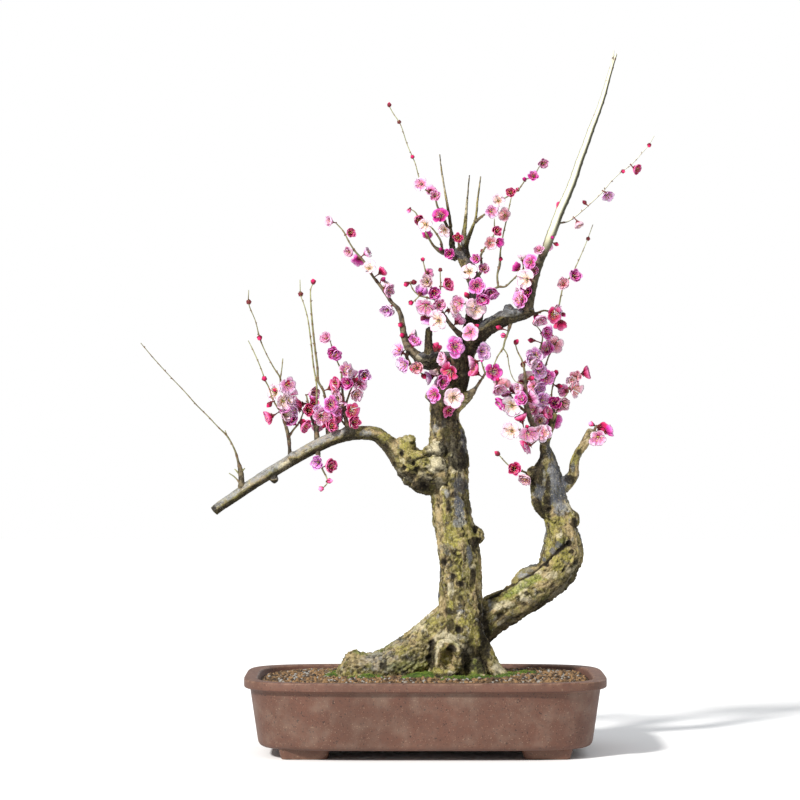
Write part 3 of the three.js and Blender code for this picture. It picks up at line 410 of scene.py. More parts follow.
def tumbled(count, size_low, size_high, seed):
    """Granules about their own middles: a twenty-sided ball for each, its corners pushed in and out
    and stretched along a random direction. Gives points (granule, corner, 3) and one ball's faces."""
    chance = np.random.default_rng(seed)
    ball = bmesh.new()
    bmesh.ops.create_icosphere(ball, subdivisions=1, radius=1)
    corners = np.array([vertex.co[:] for vertex in ball.verts])
    faces = np.array([[vertex.index for vertex in face.verts] for face in ball.faces])
    ball.free()
    turn = np.linalg.qr(chance.normal(size=(count, 3, 3)))[0]
    turn *= np.linalg.det(turn)[:, None, None]
    shaped = corners[None] * chance.uniform(0.78, 1.15, (count, len(corners), 1))
    shaped = shaped * chance.uniform(0.62, 1.1, (count, 1, 3))
    sizes = chance.uniform(size_low, size_high, (count, 1, 1))
    return np.einsum("gij,gkj->gki", turn, shaped) * sizes, faces


def laid_out(shaped, faces, places):
    """Copies of a shape moved to their places, as one set of points and faces."""
    count, corners = shaped.shape[:2]
    points = (shaped + places[:, None]).reshape(-1, 3)
    return points, (faces[None] + corners * np.arange(count)[:, None, None]).reshape(-1, faces.shape[1])


granules = baked_granules()
bed_foot = FLOOR_TOP + 0.4
bed_ring = squared_ring(180, OUTLINE_POWER, SOIL_HALF)

# The bed's first three rings lie on the pot's floor, and the others run from its wall to its middle.
shares = np.concatenate([[0.3, 0.8, 0.97], np.linspace(1, 0.02, 34)])
under = (np.arange(len(shares)) < 3)[:, None]
drawn_in = np.where(under, 0.91, 1)[..., None]
flat = bed_ring[None] * SOIL_HALF * shares[:, None, None] * drawn_in + POT_CENTRE[:2]
levels = np.where(under, bed_foot, ground(flat[..., 0], flat[..., 1]))
bed_points, bed_faces = capped(np.dstack([flat, levels]), (*POT_CENTRE[:2], bed_foot),
                               (*POT_CENTRE[:2], levels[-1].mean()))
on_top = bed_points[:, 2] > (FLOOR_TOP + SOIL_EDGE) / 2
bed_points[:, 2] += np.where(on_top, layered(bed_points / 4, 8, 2) * 0.7, 0)
add_piece("soil_bed", bed_points, bed_faces, granules, "soil", "soil",
          tone=0.35 + 0.2 * soft_noise(bed_points / 3, 4))

chance = np.random.default_rng(21)
balls, ball_faces = tumbled(GRAINS, *GRAIN_SIZES, seed=22)
spread = chance.uniform(-1, 1, (3 * GRAINS, 2))
spread = spread[(np.abs(spread) ** SOIL_ROUNDNESS).sum(axis=1) < 0.93][:GRAINS]
flat = spread * (SOIL_HALF - 2.5) + POT_CENTRE[:2]
height = ground(flat[:, 0], flat[:, 1]) + chance.uniform(-0.4, 0.9, GRAINS)
grain_points, grain_faces = laid_out(balls, ball_faces, np.column_stack([flat, height]))
add_piece("soil_granules", grain_points, grain_faces, granules, "soil", "soil",
          tone=np.repeat(chance.uniform(0, 1, GRAINS), balls.shape[1]))


# The main trunk: old hard wood under rough bark, with its surface roots, the healed knot low on its
# front and the stubs of cut branches. It grew as one, so its parts are melted into one skin here.
# A place on the wood is (x, y, z, radius) from the tree's foot, with y towards the back.
TREE_FOOT = np.array([POT_CENTRE[0] - 30, 0, SOIL_LINE])
TRUNK = [
    (68, 2, -12, 31), (70, 0, 8, 33), (72, -2, 35, 31), (72, -4, 60, 28), (72, -6, 92, 25),
    (72, -7, 123, 23), (70, -8, 153, 24), (64, -8, 183, 23.5), (60, -7, 210, 23), (59, -5, 238, 23),
    (58, -3, 263, 22), (57, 0, 285, 20.5), (54, 1, 305, 17), (55, 1, 322, 17.5), (60, 1, 337, 16),
    (69, 2, 352, 12), (76, 3, 372, 10.5), (82, 3, 393, 11), (84, 3, 402, 11.5), (87, 5, 423, 10.5),
    (92, 8, 445, 10), (92, 12, 465, 9.5), (86, 15, 482, 8.5), (79, 18, 498, 8), (72, 20, 512, 7),
]
ROOTS = [
    [(66, 0, 68, 24), (46, -2, 47, 27.5), (26, -4, 31, 27), (6, -6, 21, 24), (-14, -8, 11, 22),
     (-34, -10, 6, 21), (-52, -11, 5, 21), (-68, -12, -4, 14)],
    [(84, -4, 46, 17), (100, -8, 22, 13), (113, -11, 6, 9.5), (130, -14, -6, 6)],
    [(58, -8, 14, 26), (51, -38, -1, 15), (48, -54, -10, 9)],
    [(76, 16, 26, 22), (80, 46, 2, 14), (83, 68, -10, 9)],
    [(42, 12, 26, 23), (18, 34, 4, 15), (6, 49, -10, 10)],
    [(84, -14, 14, 17), (96, -38, -2, 10), (103, -50, -10, 7)],
]
KNOT_X = 57
KNOT = [(KNOT_X, -16, 25, 19), (KNOT_X, -28, 24, 18), (KNOT_X, -38, 23, 16)]
KNOT_LIP = [(KNOT_X + 13 * math.cos(turn), -42, 23.5 + 17 * math.sin(turn), 6.2 + math.sin(turn))
            for turn in np.linspace(0, 6.283, 17)]
KNOT_HOLLOW = {"z": 22.5, "wide": 10, "high": 13, "front": -20}
STUBS = [
    [(50, -2, 322, 8), (40, -4, 331, 6), (33, -5, 337, 5)],
    [(66, -2, 322, 9), (76, -4, 330, 7), (84, -5, 337, 5)],
]
TRUNK_KNOBS = [((-54, -12, 16), 14.5), ((90, -8, 168), 11)]

# Marks on the bark: x, z, half-width, half-height, what it is, and how strong. Those on the front
# were read off the photo; dents are (x, z, radius, depth).
# The dark marks are partly the bark's own dark patches and partly painted shade, as on the trunk's right
# edge and at its foot.
TRUNK_MARKS = [
    (43, 253, 11, 11, "pale", 1), (44, 273, 10, 10, "pale", 0.9), (40, 284, 4, 6, "tan", 0.6),
    (69, 256, 16, 13, "dark", 1), (61, 282, 15, 24, "dark", 1), (76, 280, 5, 20, "slate", 0.8),
    (56, 308, 15, 15, "dark", 0.8), (70, 264, 12, 10, "dark", 1), (60, 248, 3, 5, "tan", 1),
    (44, 296, 4, 8, "silver", 0.6), (52, 301, 3, 6, "silver", 0.6), (39, 312, 3.5, 20, "dark", 0.7),
    (40, 325, 9, 13, "dark", 0.8),
    (70, 229, 12, 13, "dark", 0.5), (72, 228, 9, 13, "slate", 0.75), (56, 219, 4, 6, "silver", 0.8),
    (47, 231, 5, 9, "pale", 0.9), (70, 204, 6, 16, "slate", 1), (71, 184, 9, 7, "silver", 0.9),
    (80, 200, 4, 26, "dark", 0.5), (64, 217, 4, 4, "dark", 0.8), (38, 214, 5, 30, "yellow", 0.7),
    (46, 200, 6, 30, "tan", 0.8), (52, 204, 3, 22, "yellow", 0.9), (57, 203, 3, 7, "dark", 0.8),
    (81, 184, 5, 8, "yellow", 0.8), (91, 177, 3.5, 3.5, "dark", 0.9), (91, 168, 5, 5, "yellow", 0.9),
    (90, 160, 8, 7, "dark", 1), (65, 161, 4, 7, "yellow", 1), (74, 170, 5, 3, "dark", 0.5),
    (47, 168, 6, 14, "tan", 0.7), (55, 152, 4, 8, "slate", 0.5), (83, 144, 4, 15, "slate", 0.9),
    (70, 134, 5, 18, "yellow", 1), (53, 137, 5, 5, "dark", 0.75), (47, 124, 4, 8, "dark", 0.7),
    (63, 120, 3, 4, "dark", 0.9), (86, 119, 4, 13, "dark", 0.7), (70, 111, 6, 3, "dark", 0.8),
    (60, 104, 4, 11, "pale", 0.6), (75, 98, 5, 10, "yellow", 0.5), (91, 100, 4, 14, "tan", 0.6),
    (50, 86, 5, 14, "tan", 0.7), (61, 84, 3, 6, "yellow", 0.8), (57, 78, 6, 5, "dark", 0.7),
    (74, 90, 4, 10, "dark", 0.5), (73, 78, 6, 3, "silver", 0.6), (72, 66, 5, 6, "yellow", 1),
    (84, 68, 6, 8, "yellow", 0.7), (60, 62, 6, 8, "dark", 0.6), (71, 56, 6, 4, "dark", 0.9),
    (57, 47, 11, 6, "pale", 0.9), (67, 38, 6, 7, "pale", 0.5), (46, 40, 5, 6, "pale", 0.6),
    (61, 35, 6, 4, "dark", 1), (55, 24, 7, 9, "yellow", 0.7), (38, 26, 5, 20, "dark", 0.8),
    (82, 24, 12, 24, "dark", 0.75), (98, 60, 6, 34, "dark", 0.8), (58, 2, 22, 5, "dark", 0.7),
    (17, 60, 16, 9, "pale", 0.6), (-6, 40, 18, 7, "silver", 0.4), (14, 34, 26, 16, "dark", 0.25),
    (-24, 20, 26, 16, "silver", 0.45), (4, 16, 22, 12, "silver", 0.35),
    (102, 44, 7, 34, "dark", 0.8), (116, 82, 6, 5, "pale", 0.9), (122, 12, 14, 10, "pale", 0.7),
    (87, 4, 6, 4, "moss", 1), (10, 12, 30, 8, "moss", 0.35), (-50, 20, 14, 12, "tan", 0.6),
    (-30, 28, 10, 6, "yellow", 0.4), (97, 20, 8, 20, "dark", 0.8), (94, 126, 4, 24, "yellow", 0.5),
]
TRUNK_DENTS = [
    (63, 120, 4, 2), (53, 136, 3.5, 2), (61, 96, 3, 1.5), (55, 75, 3.5, 1.8), (65, 76, 3, 1.6),
    (69, 57, 5, 2.5), (91, 174, 3.2, 2.5), (74, 252, 7, 2), (34, 22, 5, 3), (37, 40, 4, 2),
    (-20, 12, 6, 2.5), (8, 22, 5, 2), (62, 37, 6, 2.5), (90, 152, 5, 2.5), (45, 210, 4, 1.4),
]
# How high the bark's relief stands on a limb of each radius.
RELIEF_RADII = (1, 3, 8, 22)
RELIEF_HEIGHTS = (0.08, 0.28, 0.42, 1.1)


def smooth_line(places, step):
    """A smooth line through the places, a point about every step: a Catmull-Rom curve whose pace
    between two places is the square root of their distance. The radius follows as a fourth part."""
    places = np.array(places, dtype=float)
    whole = np.concatenate([2 * places[:1] - places[1:2], places, 2 * places[-1:] - places[-2:-1]])
    paces = np.maximum(np.linalg.norm(np.diff(whole[:, :3], axis=0), axis=1), 0.01) ** 0.5
    line = []
    for i in range(len(places) - 1):
        before, start, end, after = whole[i:i + 4]
        first, pace, last = paces[i:i + 3]
        leave = pace * ((start - before) / first - (end - before) / (first + pace)) + end - start
        arrive = pace * ((after - end) / last - (after - start) / (pace + last)) + end - start
        count = max(1, math.ceil(pace ** 2 / step))
        t = (np.arange(count) / count)[:, None]
        line.append((2 * t ** 3 - 3 * t ** 2 + 1) * start + (t ** 3 - 2 * t ** 2 + t) * leave
                    + (3 * t ** 2 - 2 * t ** 3) * end + (t ** 3 - t ** 2) * arrive)
    line = np.concatenate([*line, places[-1:]])
    line[:, 3] = np.maximum(line[:, 3], 0.25)
    return line


def unit(vectors):
    """The vectors with their length made one."""
    return vectors / np.maximum(np.linalg.norm(vectors, axis=-1, keepdims=True), 1e-9)


def carried_frame(line):
    """The line's direction at each point, and two directions square to it. They come from the one
    direction that the whole line keeps furthest from, made square to the line at each point."""
    along = unit(np.gradient(line[:, :3], axis=0))
    keep = np.linalg.eigh(along.T @ along)[1][:, 0]
    keep = keep * np.sign(keep[np.abs(keep).argmax()])
    across = unit(keep - (along @ keep)[:, None] * along)
    return along, across, np.cross(along, across)


def run_of(line):
    """How far along the line each of its points lies."""
    return np.concatenate([[0], np.cumsum(np.linalg.norm(np.diff(line[:, :3], axis=0), axis=1))])


def tube(line, sides, reach=1.0, tip=0.6):
    """A closed skin round a line: at each point a ring of the line's radius times reach, and past
    each end a point by the tip's share of the radius."""
    along, across, over = carried_frame(line)
    angle = turns(sides)
    spokes = np.cos(angle)[None, :, None] * across[:, None] + np.sin(angle)[None, :, None] * over[:, None]
    radius = np.broadcast_to(line[:, 3:4] * reach, (len(line), sides))
    rings = line[:, None, :3] + spokes * radius[..., None]
    ends = (line[0, :3] - along[0] * radius[0, 0] * tip, line[-1, :3] + along[-1] * radius[-1, 0] * tip)
    return capped(rings, *ends)


def swelling(middle, radius):
    """A knob on the wood: a short tube whose radius follows a half circle."""
    lift = np.linspace(-0.92, 0.92, 9)
    line = np.column_stack([np.outer(lift, (0, 0, radius)) + middle, radius * np.sqrt(1 - lift ** 2)])
    return tube(line, 14)


def grown_together(shells, grain, easing):
    """The outer skin of overlapping shells as small even triangles, made by Blender's voxel remesh
    with the grain in millimetres and eased by its Smooth modifier. Gives points and triangles."""
    rough = bpy.data.objects.new("rough", new_mesh("rough", *joined(shells)))
    bpy.context.scene.collection.objects.link(rough)
    melt = rough.modifiers.new("melt", "REMESH")
    melt.mode, melt.voxel_size = "VOXEL", grain * 0.001
    ease = rough.modifiers.new("ease", "SMOOTH")
    ease.factor, ease.iterations = 0.5, easing
    bpy.context.view_layer.update()
    skin = rough.evaluated_get(bpy.context.evaluated_depsgraph_get()).to_mesh()
    points = np.empty(len(skin.vertices) * 3, np.float32)
    skin.vertices.foreach_get("co", points)
    skin.calc_loop_triangles()
    triangles = np.empty(len(skin.loop_triangles) * 3, np.int32)
    skin.loop_triangles.foreach_get("vertices", triangles)
    bpy.data.objects.remove(rough)
    return points.reshape(-1, 3).astype(float) * 1000, triangles.reshape(-1, 3)


def outward(points, triangles):
    """The way that each point faces: the sum of the cross products of the triangles round it."""
    first, second, third = (points[triangles[:, k]] for k in range(3))
    cross = np.cross(second - first, third - first)
    sums = [np.bincount(triangles.ravel(), np.repeat(cross[:, axis], 3), len(points)) for axis in range(3)]
    return unit(np.stack(sums, axis=1))


def bark_places(points, lines, apart=2000, batch=4000):
    """Where each point lies on the bark: across, over and along the line whose surface is nearest,
    in millimetres, and the angle round that line, with its radius there. Each line starts far apart
    from the last, and the distances are worked out for a batch of points at a time."""
    frames = np.concatenate([np.stack(carried_frame(line), axis=1) for line in lines])
    runs = np.concatenate([run_of(line) + apart * number for number, line in enumerate(lines)])
    stations = np.concatenate(lines)
    nearest = np.concatenate([
        (np.linalg.norm(part[:, None] - stations[None, :, :3], axis=2) - stations[:, 3]).argmin(axis=1)
        for part in np.array_split(points, len(points) // batch + 1)])
    local = np.einsum("pij,pj->pi", frames[nearest], points - stations[nearest, :3])
    bark = np.column_stack([local[:, 1], local[:, 2], runs[nearest] + local[:, 0]])
    return bark, np.arctan2(local[:, 2], local[:, 1]), stations[nearest, 3]


def strewn(places, seed):
    """The distances from each place to the nearest and to the second nearest of random points, one
    in each whole-numbered cell. Where the two are equal runs the crack between two plates."""
    cell = np.floor(places)
    nearest, second = np.full((2, len(places)), 9.0)
    for offset in itertools.product((-1, 0, 1), repeat=3):
        other = cell + offset
        seeds = other + np.stack([scattered(other, seed + k) for k in range(3)], axis=-1)
        distance = np.linalg.norm(seeds - places, axis=-1)
        second = np.minimum(second, np.maximum(nearest, distance))
        nearest = np.minimum(nearest, distance)
    return nearest, second


def rising(value, low, high):
    """0 below low, 1 above high, and a smooth rise between them."""
    share = np.clip((value - low) / (high - low), 0, 1)
    return share * share * (3 - 2 * share)


def falling(value, low, high):
    """1 below low, 0 above high, and a smooth fall between them."""
    return rising(-value, -high, -low)


def marked(points, front, marks, kind, seed):
    """How much of one kind of mark each point has: the strongest oval of that kind over it, with an
    edge frayed by noise, on the front only."""
    share = np.zeros(len(points))
    fray = layered(points / 5, seed, 3) * 0.32
    for x, z, wide, high, name, strength in marks:
        if name == kind:
            out = np.hypot((points[:, 0] - x) / wide, (points[:, 2] - z) / high) + fray
            share = np.maximum(share, strength * falling(out, 0.6, 1.25))
    return share * front


def strengthen(values, kind, share):
    """Raises one kind of mark to a share wherever it is weaker."""
    values[kind] = np.maximum(values[kind], share)


def old_bark():
    """Old bark: grey-brown to olive-beige streaks along the limb, yellow-green and grey lichen, blue
    grey smooth wood, pale scars, dark patches that are partly painted shade, and near-black in the
    cracks and low places, partly their own colour and partly painted shade."""
    bark = Finish("old_bark")
    grain = bark.given("grain", "Vector")
    coarse = bark.noise(24, 4, grain)
    streak = bark.noise(5, 6, grain)
    mottle = bark.noise(4.5, 6)
    fine = bark.noise(2, 4).between(0.32, 0.68)
    lichen = bark.noise(6, 5)
    colour = bark.over(
        bark.blend("463c26", "82774a", streak.between(0.34, 0.6)),
        ("a8936c", bark.noise(10, 4, grain).between(0.48, 0.58) * 0.75),
        ("928a4a", bark.noise(8, 4).between(0.52, 0.64) * 0.6),
        ("b8aa80", mottle.between(0.5, 0.66) * coarse.between(0.42, 0.6) * 0.7),
        ("5b5a2c", bark.noise(13, 4).between(0.5, 0.64) * 0.55),
        ("85827a", bark.noise(7, 5).between(0.56, 0.66) * 0.6),
        ("261e12", (1 - mottle).between(0.54, 0.64) * 0.65),
    )
    for name, code, edge, least in (
            ("yellow", "a0984c", lichen, 0.3), ("tan", "aa966e", streak, 0.3),
            ("slate", "4d525e", streak, 0.7), ("silver", "909192", lichen, 0.5),
            ("pale", "c9bfa0", mottle, 0.5)):
        patch = (bark.given(name) * (edge * 2.2 - 0.1)).between(0.1, 0.9)
        colour = bark.blend(colour, code, patch * (fine * (0.95 - least) + least))
    moss = bark.blend("525e26", "939848", bark.noise(3.5, 3).between(0.35, 0.65))
    # The dark marks, partly dark bark and partly painted shade, are laid on nearly black.
    shade = (bark.given("dark") * (mottle * 1.5 + 0.4)).between(0.1, 0.9)
    colour = bark.over(
        colour,
        (moss, bark.given("moss") * bark.noise(6, 4).between(0.2, 0.46)),
        ("d6cdb0", bark.noise(1.6, 3).between(0.58, 0.7) * 0.5),
        ("2c2416", bark.noise(2.4, 4, grain).between(0.56, 0.66) * 0.5),
        ("17110b", shade * (fine * 0.2 + 0.77)),
        ("140f08", bark.given("deep").between(0.14, 0.95) * 0.85),
    )
    normal = bark.bump(bark.noise(1.2, 4) * 0.4 + mottle * 0.3 + streak * 0.3, 2.0)
    return bark.show(bark.skin(colour, coarse * 0.2 + 0.7, normal, **{"Specular IOR Level": 0.2}))


def barked(points, triangles, lines, marks, dents, seed, rough=1.0, fluted=1.0, plates=(9, 16),
           smooth_past=-999):
    """Old bark on a smooth skin: flutes and lumps along the limb, plates parted by cracks, fine
    ridges and the dents, all pushed along the way that each point faces. It is smooth where x lies
    past a place on the left. Gives the new points, how they faced, and the values that the bark's
    finish reads."""
    facing = outward(points, triangles)
    bark, angle, radius = bark_places(points, lines)
    x, _, z = points.T

    # The shapes of the relief, each a noise or a pattern laid along the limb. The foot of the left
    # root is grainy rather than furrowed.
    lumps = layered(bark / (24, 24, 36), seed, 3)
    wander = soft_noise(bark / (60, 60, 55), seed + 3)
    flutes = np.cos(5 * angle + 3.2 * wander) + 0.6 * np.cos(8 * angle - 4 * wander + bark[:, 2] / 40)
    bent = bark + np.stack([layered(bark / 9, seed + 14 + k, 2) for k in range(3)], axis=1) * (3.4, 3.4, 5)
    nearest, second = strewn(bent / (plates[0], plates[0], plates[1]), seed + 7)
    crack = 1 - rising(second - nearest, 0.02, 0.2)
    crack = crack * rising(layered(bark / 22, seed + 9, 2), 0.05, 0.5)
    pit = falling(strewn(bent / 13, seed + 8)[0], 0.08, 0.24)
    pit = pit * rising(layered(bark / 30, seed + 10, 2), -0.3, 0.2)
    granular = falling(x, 25, 52) * falling(z, 60, 90)
    furrow = 1 - rising(np.abs(layered(bent / (8, 8, 34), seed + 11, 3)), 0.02, 0.3)
    furrow = furrow * (1 - 0.7 * granular)
    rill = 1 - rising(np.abs(layered(bent / (3.4, 3.4, 11), seed + 12, 2)), 0.02, 0.42)
    grit = layered(points / 2.8, seed + 13, 3) * (1 + 1.3 * granular)

    scale = np.interp(radius, RELIEF_RADII, RELIEF_HEIGHTS) * rough
    broad = 1.6 * lumps + fluted * flutes * 0.8 - 1.6 * furrow - 0.7 * rill - 1.2 * crack - 1.4 * pit
    height = scale * (1 + broad * (1 - 0.45 * granular) + 0.6 * grit)
    front = rising(-facing[:, 1], -0.1, 0.3)
    hollow = np.zeros(len(points))
    for dent_x, dent_z, wide, depth in dents:
        out = np.hypot(x - dent_x, z - dent_z) / wide
        hollow = np.maximum(hollow, depth * falling(out, 0.2, 1.15) * front)
    smooth = np.maximum(marked(points, front, marks, "slate", seed), rising(smooth_past - x, -25, 20))
    smooth = np.maximum(smooth, marked(points, front, marks, "pale", seed)) * 0.65
    height = height * (1 - smooth) - hollow

    # The marks read off the photo, and others strewn over the whole limb.
    values = {kind: marked(points, front, marks, kind, seed + 20 + number) for number, kind
              in enumerate(("pale", "slate", "silver", "tan", "yellow", "dark", "moss"))}
    strengthen(values, "slate", (1 - front) * rising(layered(bark / 40, seed + 31), 0.2, 0.6) * 0.8)
    strengthen(values, "pale", rising(layered(bark / (14, 14, 24), seed + 32), 0.42, 0.8) * 0.7)
    strengthen(values, "yellow", rising(layered(bark / 20, seed + 33), 0.3, 0.8) * 0.6)
    strengthen(values, "moss", rising(layered(points / 17, seed + 34), 0.25, 0.6)
               * rising(facing[:, 2], 0.1, 0.8) * falling(z, 4, 60))
    creased = (crack * 0.45 + pit * 0.65 + furrow * 0.45 + rill * 0.2) * (1 - smooth)
    creased = creased * (1 - 0.4 * granular) * (1 - 0.35 * falling(z, 80, 130))
    sunk_shade = rising(-grit, 0.35 - 0.15 * granular, 1) * (0.25 + 0.35 * granular)
    # Near-black in the cracks, pits, dents and low places: partly the bark's own dark cracks and partly
    # painted shade.
    values["deep"] = np.clip(creased + hollow * 0.35 + rising(-lumps, 0.2, 1) * 0.15 + sunk_shade, 0, 1)
    values["grain"] = bark * (0.001, 0.001, 0.0003)
    return points + facing * height[:, None], facing, values


bark_finish = old_bark()
trunk_lines = [smooth_line(places, 3) for places in [TRUNK, *ROOTS, KNOT, *STUBS]]
trunk_shells = [tube(line, 28) for line in trunk_lines]
trunk_shells += [tube(smooth_line(KNOT_LIP, 2), 10), *(swelling(*knob) for knob in TRUNK_KNOBS)]
skin, faces = grown_together(trunk_shells, grain=1.4, easing=2)
skin, _, values = barked(skin, faces, trunk_lines, TRUNK_MARKS, TRUNK_DENTS, seed=3)

# The leader over the fork is dark in patches, and grey towards its top.
leader = rising(skin[:, 2], 325, 350) * (1 - 0.6 * rising(skin[:, 2], 470, 500))
patchy = rising(layered(skin / 14, 41, 3), -0.5, 0.3)
strengthen(values, "dark", leader * (0.55 + 0.35 * patchy))
strengthen(values, "slate", rising(skin[:, 2], 430, 460) * 0.8 * patchy)

# The healed knot: its middle sinks behind the rolled lip, and its inside is painted dark as shade, most
# towards the top under the lip.
knot_out = np.hypot((skin[:, 0] - KNOT_X) / KNOT_HOLLOW["wide"],
                    (skin[:, 2] - KNOT_HOLLOW["z"]) / KNOT_HOLLOW["high"])
knot_in = falling(knot_out, 0.35, 1.1) * (skin[:, 1] < KNOT_HOLLOW["front"])
skin[:, 1] += knot_in * (11 + 3 * soft_noise(skin / 4, 40))
strengthen(values, "dark", knot_in * rising(skin[:, 2], 18, 34) * 0.8)
add_piece("trunk", skin + TREE_FOOT, faces, bark_finish, "bark", "wood", **values)


# The second trunk leaves the first one near the ground, lies over to the right and stands up again,
# deeply fluted, with a collar of bark round the stump of its old top.
SECOND_TRUNK = [
    (78, 14, 38, 24), (98, 20, 59, 21), (120, 26, 75, 21.5), (144, 31, 87.5, 20.5), (164, 34, 104, 24),
    (178, 36, 112, 22), (189, 37, 124, 22.5), (197, 37, 143, 24), (197, 35, 160, 21), (195, 33, 175, 17.5),
    (191, 31, 190, 17.5), (183, 29, 205, 20.5), (180, 28, 220, 20), (178, 28, 236, 18.5),
    (178, 28, 249, 14.5), (178, 28, 262, 9), (175, 28, 274, 6.2), (179, 28, 290, 5),
    (184, 29, 304, 4), (187, 31, 313, 3.2),
]
RIGHT_STUB = [
    (194, 27, 226, 10), (203, 23, 232, 7.5), (209, 20, 240, 6.2), (210, 17, 253, 5.6),
    (214, 13, 265, 5.2), (221, 9, 276, 5.4), (227, 6, 287, 5.6), (230, 4, 293, 5),
]
SECOND_KNOBS = [((163, 24, 240), 9.5), ((206, 30, 186), 11)]
SECOND_MARKS = [
    (190, 232, 13, 34, "slate", 1), (186, 234, 6, 14, "silver", 0.5), (181, 246, 4, 4, "silver", 1),
    (193, 200, 10, 9, "silver", 0.8), (166, 240, 9, 17, "dark", 1), (168, 262, 6, 20, "dark", 0.9),
    (178, 229, 3, 14, "dark", 0.8), (177, 206, 5, 12, "dark", 1), (167, 198, 9, 15, "dark", 0.95),
    (168, 220, 7, 10, "slate", 1), (180, 272, 4, 12, "slate", 0.8), (204, 234, 7, 6, "dark", 0.9),
    (208, 249, 3, 8, "slate", 0.6), (213, 258, 4, 7, "yellow", 0.4), (215, 267, 3, 4, "dark", 0.7),
    (223, 275, 6, 12, "tan", 0.8), (173, 238, 2, 14, "silver", 0.5),
    (190, 184, 14, 8, "yellow", 0.8), (186, 172, 8, 12, "yellow", 0.6), (209, 182, 4, 8, "dark", 0.75),
    (192, 167, 5, 4, "pale", 0.7), (203, 170, 6, 5, "tan", 0.7), (184, 148, 5, 4, "slate", 0.8),
    (191, 155, 5, 4, "slate", 0.8), (196, 160, 4, 4, "moss", 0.6), (204, 157, 3.5, 4, "dark", 1),
    (148, 118, 10, 3.5, "silver", 0.8), (174, 138, 4, 3, "slate", 0.8), (163, 128, 7, 4, "tan", 0.8),
    (196, 100, 14, 8, "dark", 0.5), (204, 118, 8, 6, "dark", 0.5),
    (125, 92, 14, 4, "yellow", 0.7), (165, 114, 18, 5, "yellow", 0.6), (192, 141, 9, 7, "yellow", 0.9),
    (200, 144, 9, 8, "yellow", 1), (190, 132, 9, 7, "yellow", 0.8), (206, 148, 3, 3, "dark", 0.8),
    (212, 134, 5, 3, "dark", 0.7), (192, 129, 5, 3, "dark", 0.5), (170, 119, 14, 6, "tan", 0.9),
    (182, 119, 10, 6, "pale", 0.5), (205, 125, 8, 4, "pale", 0.5), (153, 97, 5, 3, "dark", 0.9),
    (175, 109, 15, 6, "tan", 0.7), (151, 90, 6, 3, "silver", 0.5), (126, 84, 11, 6, "pale", 0.6),
    (140, 100, 12, 5, "yellow", 0.7), (128, 68, 12, 4, "dark", 0.6), (200, 114, 7, 5, "dark", 0.6),
    (108, 82, 3, 8, "silver", 0.6), (102, 74, 3, 18, "dark", 0.3), (150, 78, 14, 5, "yellow", 0.4),
    (135, 58, 20, 4, "dark", 0.5), (173, 92, 14, 5, "moss", 0.3), (152, 125, 9, 4, "silver", 0.6),
    (168, 139, 7, 4, "tan", 0.6), (179, 152, 4, 14, "yellow", 0.7),
]
FURROW = [(105, 0, 88, 0), (125, 0, 100, 0), (145, 0, 112, 0), (160, 0, 121, 0), (175, 0, 133, 0),
          (188, 0, 146, 0), (204, 0, 158, 0)]
SECOND_DENTS = [
    (204, 157, 3.6, 3.5), (196, 152, 4, 2), (188, 146, 4, 2), (176, 132, 4.5, 2.5), (179, 198, 3.5, 3),
    (178, 206, 3, 2), (150, 84, 4, 1.5), (120, 72, 5, 2), (166, 98, 3.5, 1.5), (212, 236, 3, 2),
]

# A deep furrow runs along the upper side of its leaning part, painted dark inside as shade, with moss on its
# lip.
SECOND_DENTS += [(x, z, 1.1 + x / 150, x / 95) for x, _, z, _ in smooth_line(FURROW, 1.5)]
SECOND_MARKS += [(x, z, x / 105, x / 105, "dark", 0.45 if 149 < x < 168 else 0.9)
                 for x, _, z, _ in smooth_line(FURROW, 2)]
SECOND_MARKS += [(x + 5, z - 5, 6, 3.5, "moss", 0.8) for x, _, z, _ in smooth_line(FURROW[1:4], 4)]

second_lines = [smooth_line(places, 3) for places in [SECOND_TRUNK, RIGHT_STUB]]
second_shells = [tube(line, 26) for line in second_lines] + [swelling(*knob) for knob in SECOND_KNOBS]
skin, faces = grown_together(second_shells, grain=1.2, easing=2)
skin, facing, values = barked(skin, faces, second_lines, SECOND_MARKS + TRUNK_MARKS, SECOND_DENTS,
                              seed=60, rough=0.95, fluted=1.6, plates=(8, 20))
# The underside of the leaning part is painted dark as shade, and the neck is a little darker.
under = falling(facing[:, 2], -0.6, 0.1) * falling(skin[:, 2], 120, 150)
neck = rising(skin[:, 2], 195, 215) * falling(skin[:, 0], 195, 205)
strengthen(values, "dark", np.maximum(under * 0.6, neck * 0.3))
add_piece("second_trunk", skin + TREE_FOOT, faces, bark_finish, "bark", "wood", **values)


